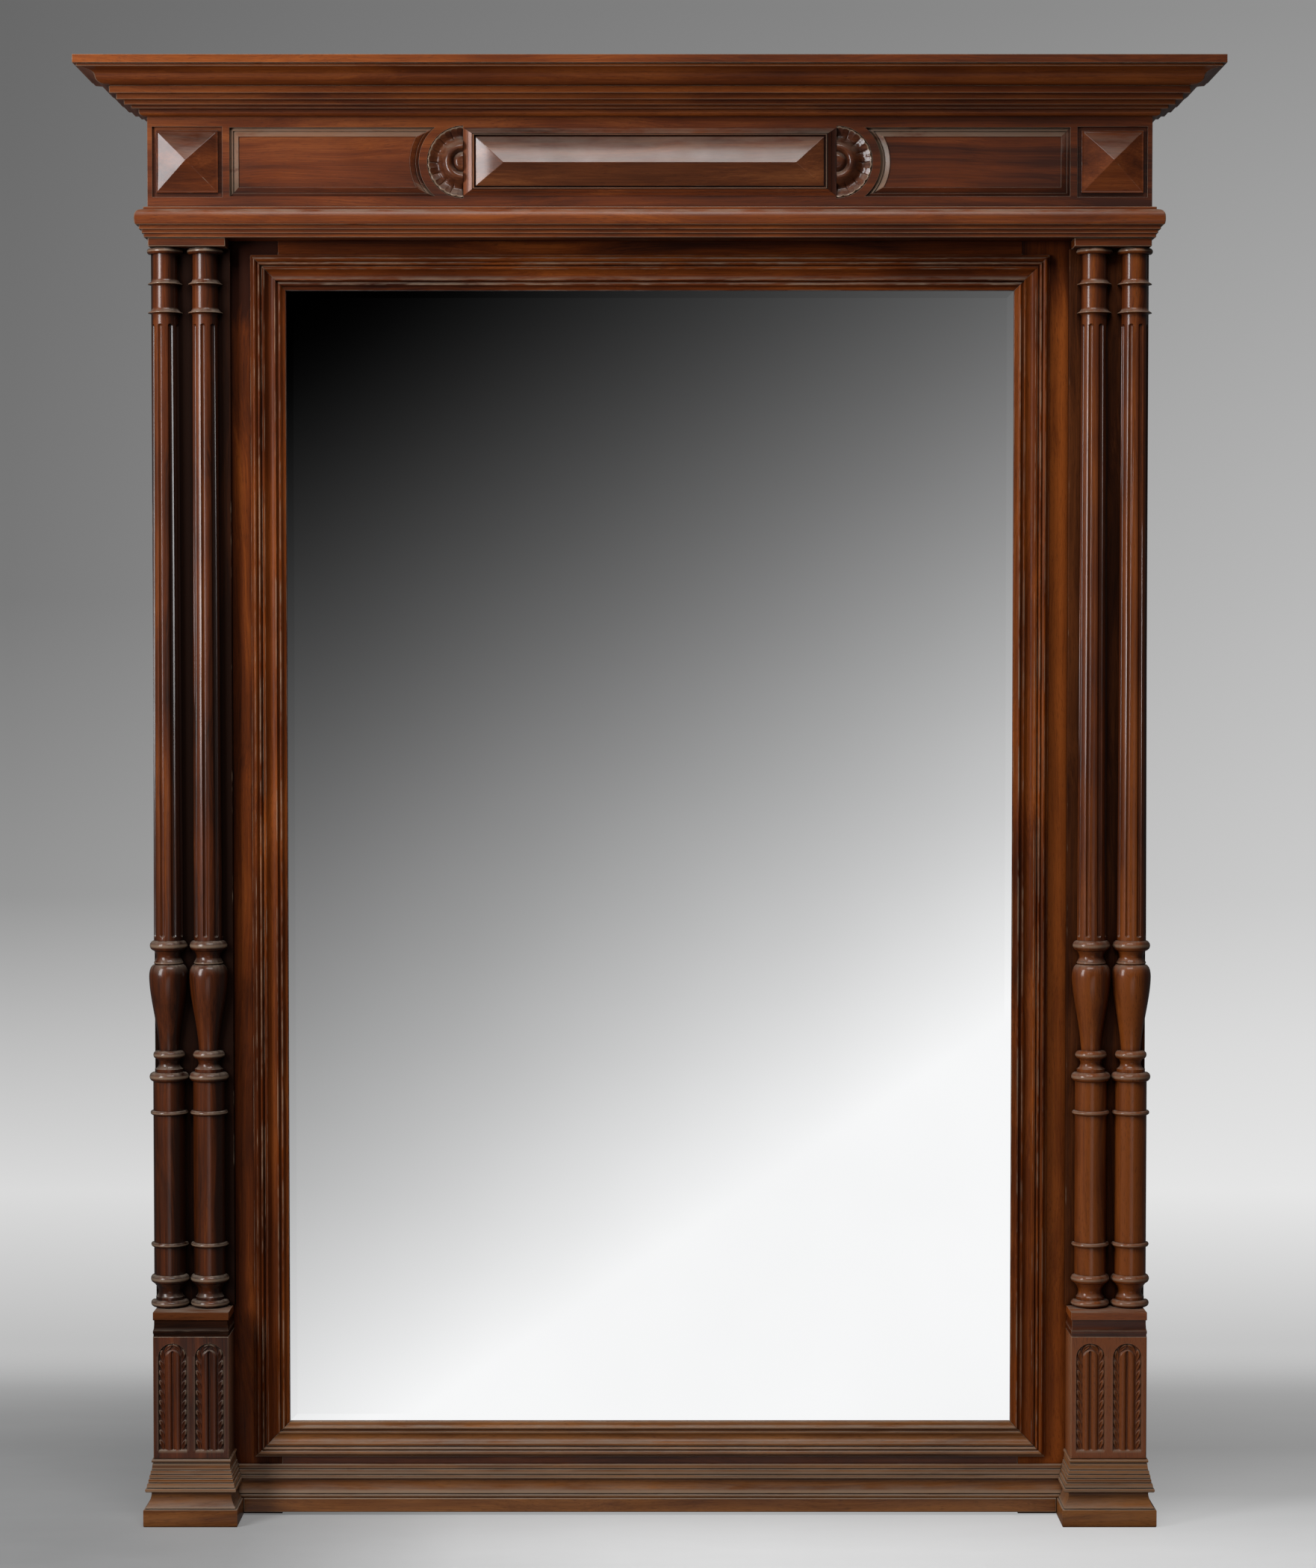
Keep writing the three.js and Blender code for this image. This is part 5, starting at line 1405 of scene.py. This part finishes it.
# The room seen in the plate: screen brightness straight ahead, and how it grows to the right
# and downwards with the slope of the view
PLATE_TONE, PLATE_RIGHTWARDS, PLATE_DOWNWARDS = 0.5086, 1.842, 2.755
ROOM_LEVEL = 0.07                   # beyond what the plate shows
AMBIENT_LEVEL = 0.05


def grey(value):
    return rgb(value, value, value)


def graded(tree, value, places, colours):
    """Colours that change with a value, each given at its place."""
    first, last = places[0], places[-1]
    shares = [(place - first) / (last - first) for place in places]
    return tree.ramp(tree.span(value, first, last), *zip(shares, colours))


def backdrop_colour(tree, right, down):
    """A pale studio backdrop that is darker at the top left."""
    left, right_tones = (graded(tree, down, BACKDROP_SLOPES, map(grey, tones))
                         for tones in (BACKDROP_LEFT, BACKDROP_RIGHT))
    return tree.mix(tree.span(right, -BACKDROP_EDGE, BACKDROP_EDGE), left, right_tones)


def plate_view_colour(tree, right, down):
    """What a mirror on the wall would see in front of it."""
    tone = tree.math("ADD", PLATE_TONE, tree.math(
        "ADD", tree.math("MULTIPLY", right, PLATE_RIGHTWARDS),
        tree.math("MULTIPLY", down, PLATE_DOWNWARDS)), clamp=True)
    light = tree.math("POWER", tone, 2.2)
    inside = tree.math("MULTIPLY", tree.span(tree.math("ABSOLUTE", right), 0.32, 0.15),
                       tree.span(tree.math("ABSOLUTE", down), 0.45, 0.28))
    return tree.mix(inside, (ROOM_LEVEL, ROOM_LEVEL, ROOM_LEVEL, 1),
                    tree.node("ShaderNodeCombineXYZ", X=light, Y=light, Z=light).outputs[0])


def make_world():
    world = bpy.data.worlds.new("studio")
    bpy.context.scene.world = world
    world.use_nodes = True
    world.node_tree.nodes.clear()
    tree = Tree(world.node_tree)
    x, y, z = tree.split(tree.node("ShaderNodeTexCoord").outputs["Generated"])
    drop = tree.math("MULTIPLY", z, -1.0)
    behind = tree.math("MAXIMUM", y, 0.15)
    ahead = tree.math("MAXIMUM", tree.math("MULTIPLY", y, -1.0), 0.15)
    backdrop = backdrop_colour(tree, tree.math("DIVIDE", x, behind),
                               tree.math("DIVIDE", drop, behind))
    room = plate_view_colour(tree, tree.math("DIVIDE", x, ahead),
                             tree.math("DIVIDE", drop, ahead))
    path = tree.node("ShaderNodeLightPath").outputs
    mirrored = tree.math("MAXIMUM", path["Is Glossy Ray"], path["Is Transmission Ray"])
    ambient = (AMBIENT_LEVEL, AMBIENT_LEVEL, AMBIENT_LEVEL, 1)
    colour = tree.mix(path["Is Camera Ray"], tree.mix(mirrored, ambient, room), backdrop)
    background = tree.node("ShaderNodeBackground", Color=colour, Strength=1.0)
    world.cycles.sampling_method = "NONE"      # each ray kind keeps its own view of the room
    output = world.node_tree.nodes.new("ShaderNodeOutputWorld")
    world.node_tree.links.new(background.outputs[0], output.inputs["Surface"])


# The floor is lit by the lamps and, for the camera alone, as brightly as a studio's, with a painted
# shadow band behind the object and a painted pool of light in front of it: screen greys by distance
# behind the object's middle plane, at the left and at the right, and the share of the right tones
# across the floor
FLOOR_TONE = 130
FLOOR_PLACES = (-0.14, 0.03, 0.14, 0.39, 0.61, 0.86, 1.10)
FLOOR_LEFT = (89, 93, 90, 93, 115, 147, 165)
FLOOR_RIGHT = (188, 171, 150, 133, 145, 163, 175)
FLOOR_ACROSS = ((-0.70, 0), (-0.50, 0.08), (-0.405, 0.24), (-0.315, 0.43), (-0.225, 0.70),
                (-0.045, 0.92), (0.135, 1.0), (0.80, 0.95))
FLOOR_FADE = (0.70, 1.05)           # where the floor gives way to the backdrop


def make_floor():
    half_width, front, back = 5.0, -6.0, 1.3
    mesh = bpy.data.meshes.new("studio_floor")
    mesh.from_pydata([(-half_width, front, 0), (half_width, front, 0), (half_width, back, 0),
                      (-half_width, back, 0)], [], [(0, 1, 2, 3)])
    made, tree = material("studio_floor")
    x, y, _ = tree.split(tree.node("ShaderNodeTexCoord").outputs["Object"])
    left, right = (graded(tree, y, FLOOR_PLACES, map(grey, tones))
                   for tones in (FLOOR_LEFT, FLOOR_RIGHT))
    places, shares = zip(*FLOOR_ACROSS)
    across = graded(tree, x, places, [(share, share, share, 1) for share in shares])
    scuffs = tree.noise(tree.node("ShaderNodeTexCoord").outputs["Object"], (2.0, 5.0, 1.0),
                        detail=4.0, roughness=0.6)
    tone = tree.mix(tree.span(scuffs, 0.3, 0.7, 0.0, 0.10), grey(FLOOR_TONE), grey(215))
    path = tree.node("ShaderNodeLightPath").outputs
    # Painted light and shadow on the floor, for the camera alone
    floor_light_and_shadow = tree.mix(path["Is Camera Ray"], (0, 0, 0, 1), tree.mix(across, left, right))
    lit = tree.node("ShaderNodeBsdfPrincipled", Base_Color=tone, Roughness=0.7,
                    Emission_Color=floor_light_and_shadow, Emission_Strength=1.0)
    clear = tree.node("ShaderNodeBsdfTransparent")
    fade = tree.math("MAXIMUM", tree.span(y, *FLOOR_FADE, smooth=True),
                     tree.math("MAXIMUM", path["Is Glossy Ray"], path["Is Transmission Ray"]))
    mixed = tree.node("ShaderNodeMixShader", Fac=fade)
    tree.tree.links.new(lit.outputs[0], mixed.inputs[1])
    tree.tree.links.new(clear.outputs[0], mixed.inputs[2])
    surface(tree, mixed)
    mesh.materials.append(made)
    new_object("studio_floor", mesh)


def softbox(name, place, aim, width, height, watts, colour=(1, 1, 1)):
    lamp = bpy.data.lights.new(name, "AREA")
    lamp.shape = "RECTANGLE"
    lamp.size, lamp.size_y = width, height
    lamp.energy = watts
    lamp.color = colour
    obj = new_object(name, lamp)
    obj.location = place
    obj.rotation_euler = (Vector(aim) - Vector(place)).to_track_quat("-Z", "Y").to_euler()


def make_lights():
    softbox("window_softbox", (-2.04, -1.46, 1.65), (-0.1, 0.0, 1.35), 0.72, 1.6, 50,
            (0.96, 0.98, 1.0))
    softbox("overhead_softbox", (-0.03, -1.5, 3.4), (0.0, 0.0, 1.5), 1.7, 1.3, 45)


def make_camera():
    camera = bpy.data.cameras.new("camera")
    camera.sensor_fit = "VERTICAL"
    camera.sensor_width = SENSOR
    camera.sensor_height = SENSOR
    camera.lens = FOCAL_LENGTH_PX / FRAME_HEIGHT_PX * SENSOR
    camera.clip_end = 60
    obj = new_object("camera", camera)
    obj.location = CAMERA_PLACE
    obj.rotation_euler = (CAMERA_TILT, 0, 0)
    bpy.context.scene.camera = obj


make_camera()
make_world()
make_floor()
make_lights()
bpy.context.scene.view_settings.view_transform = "Standard"
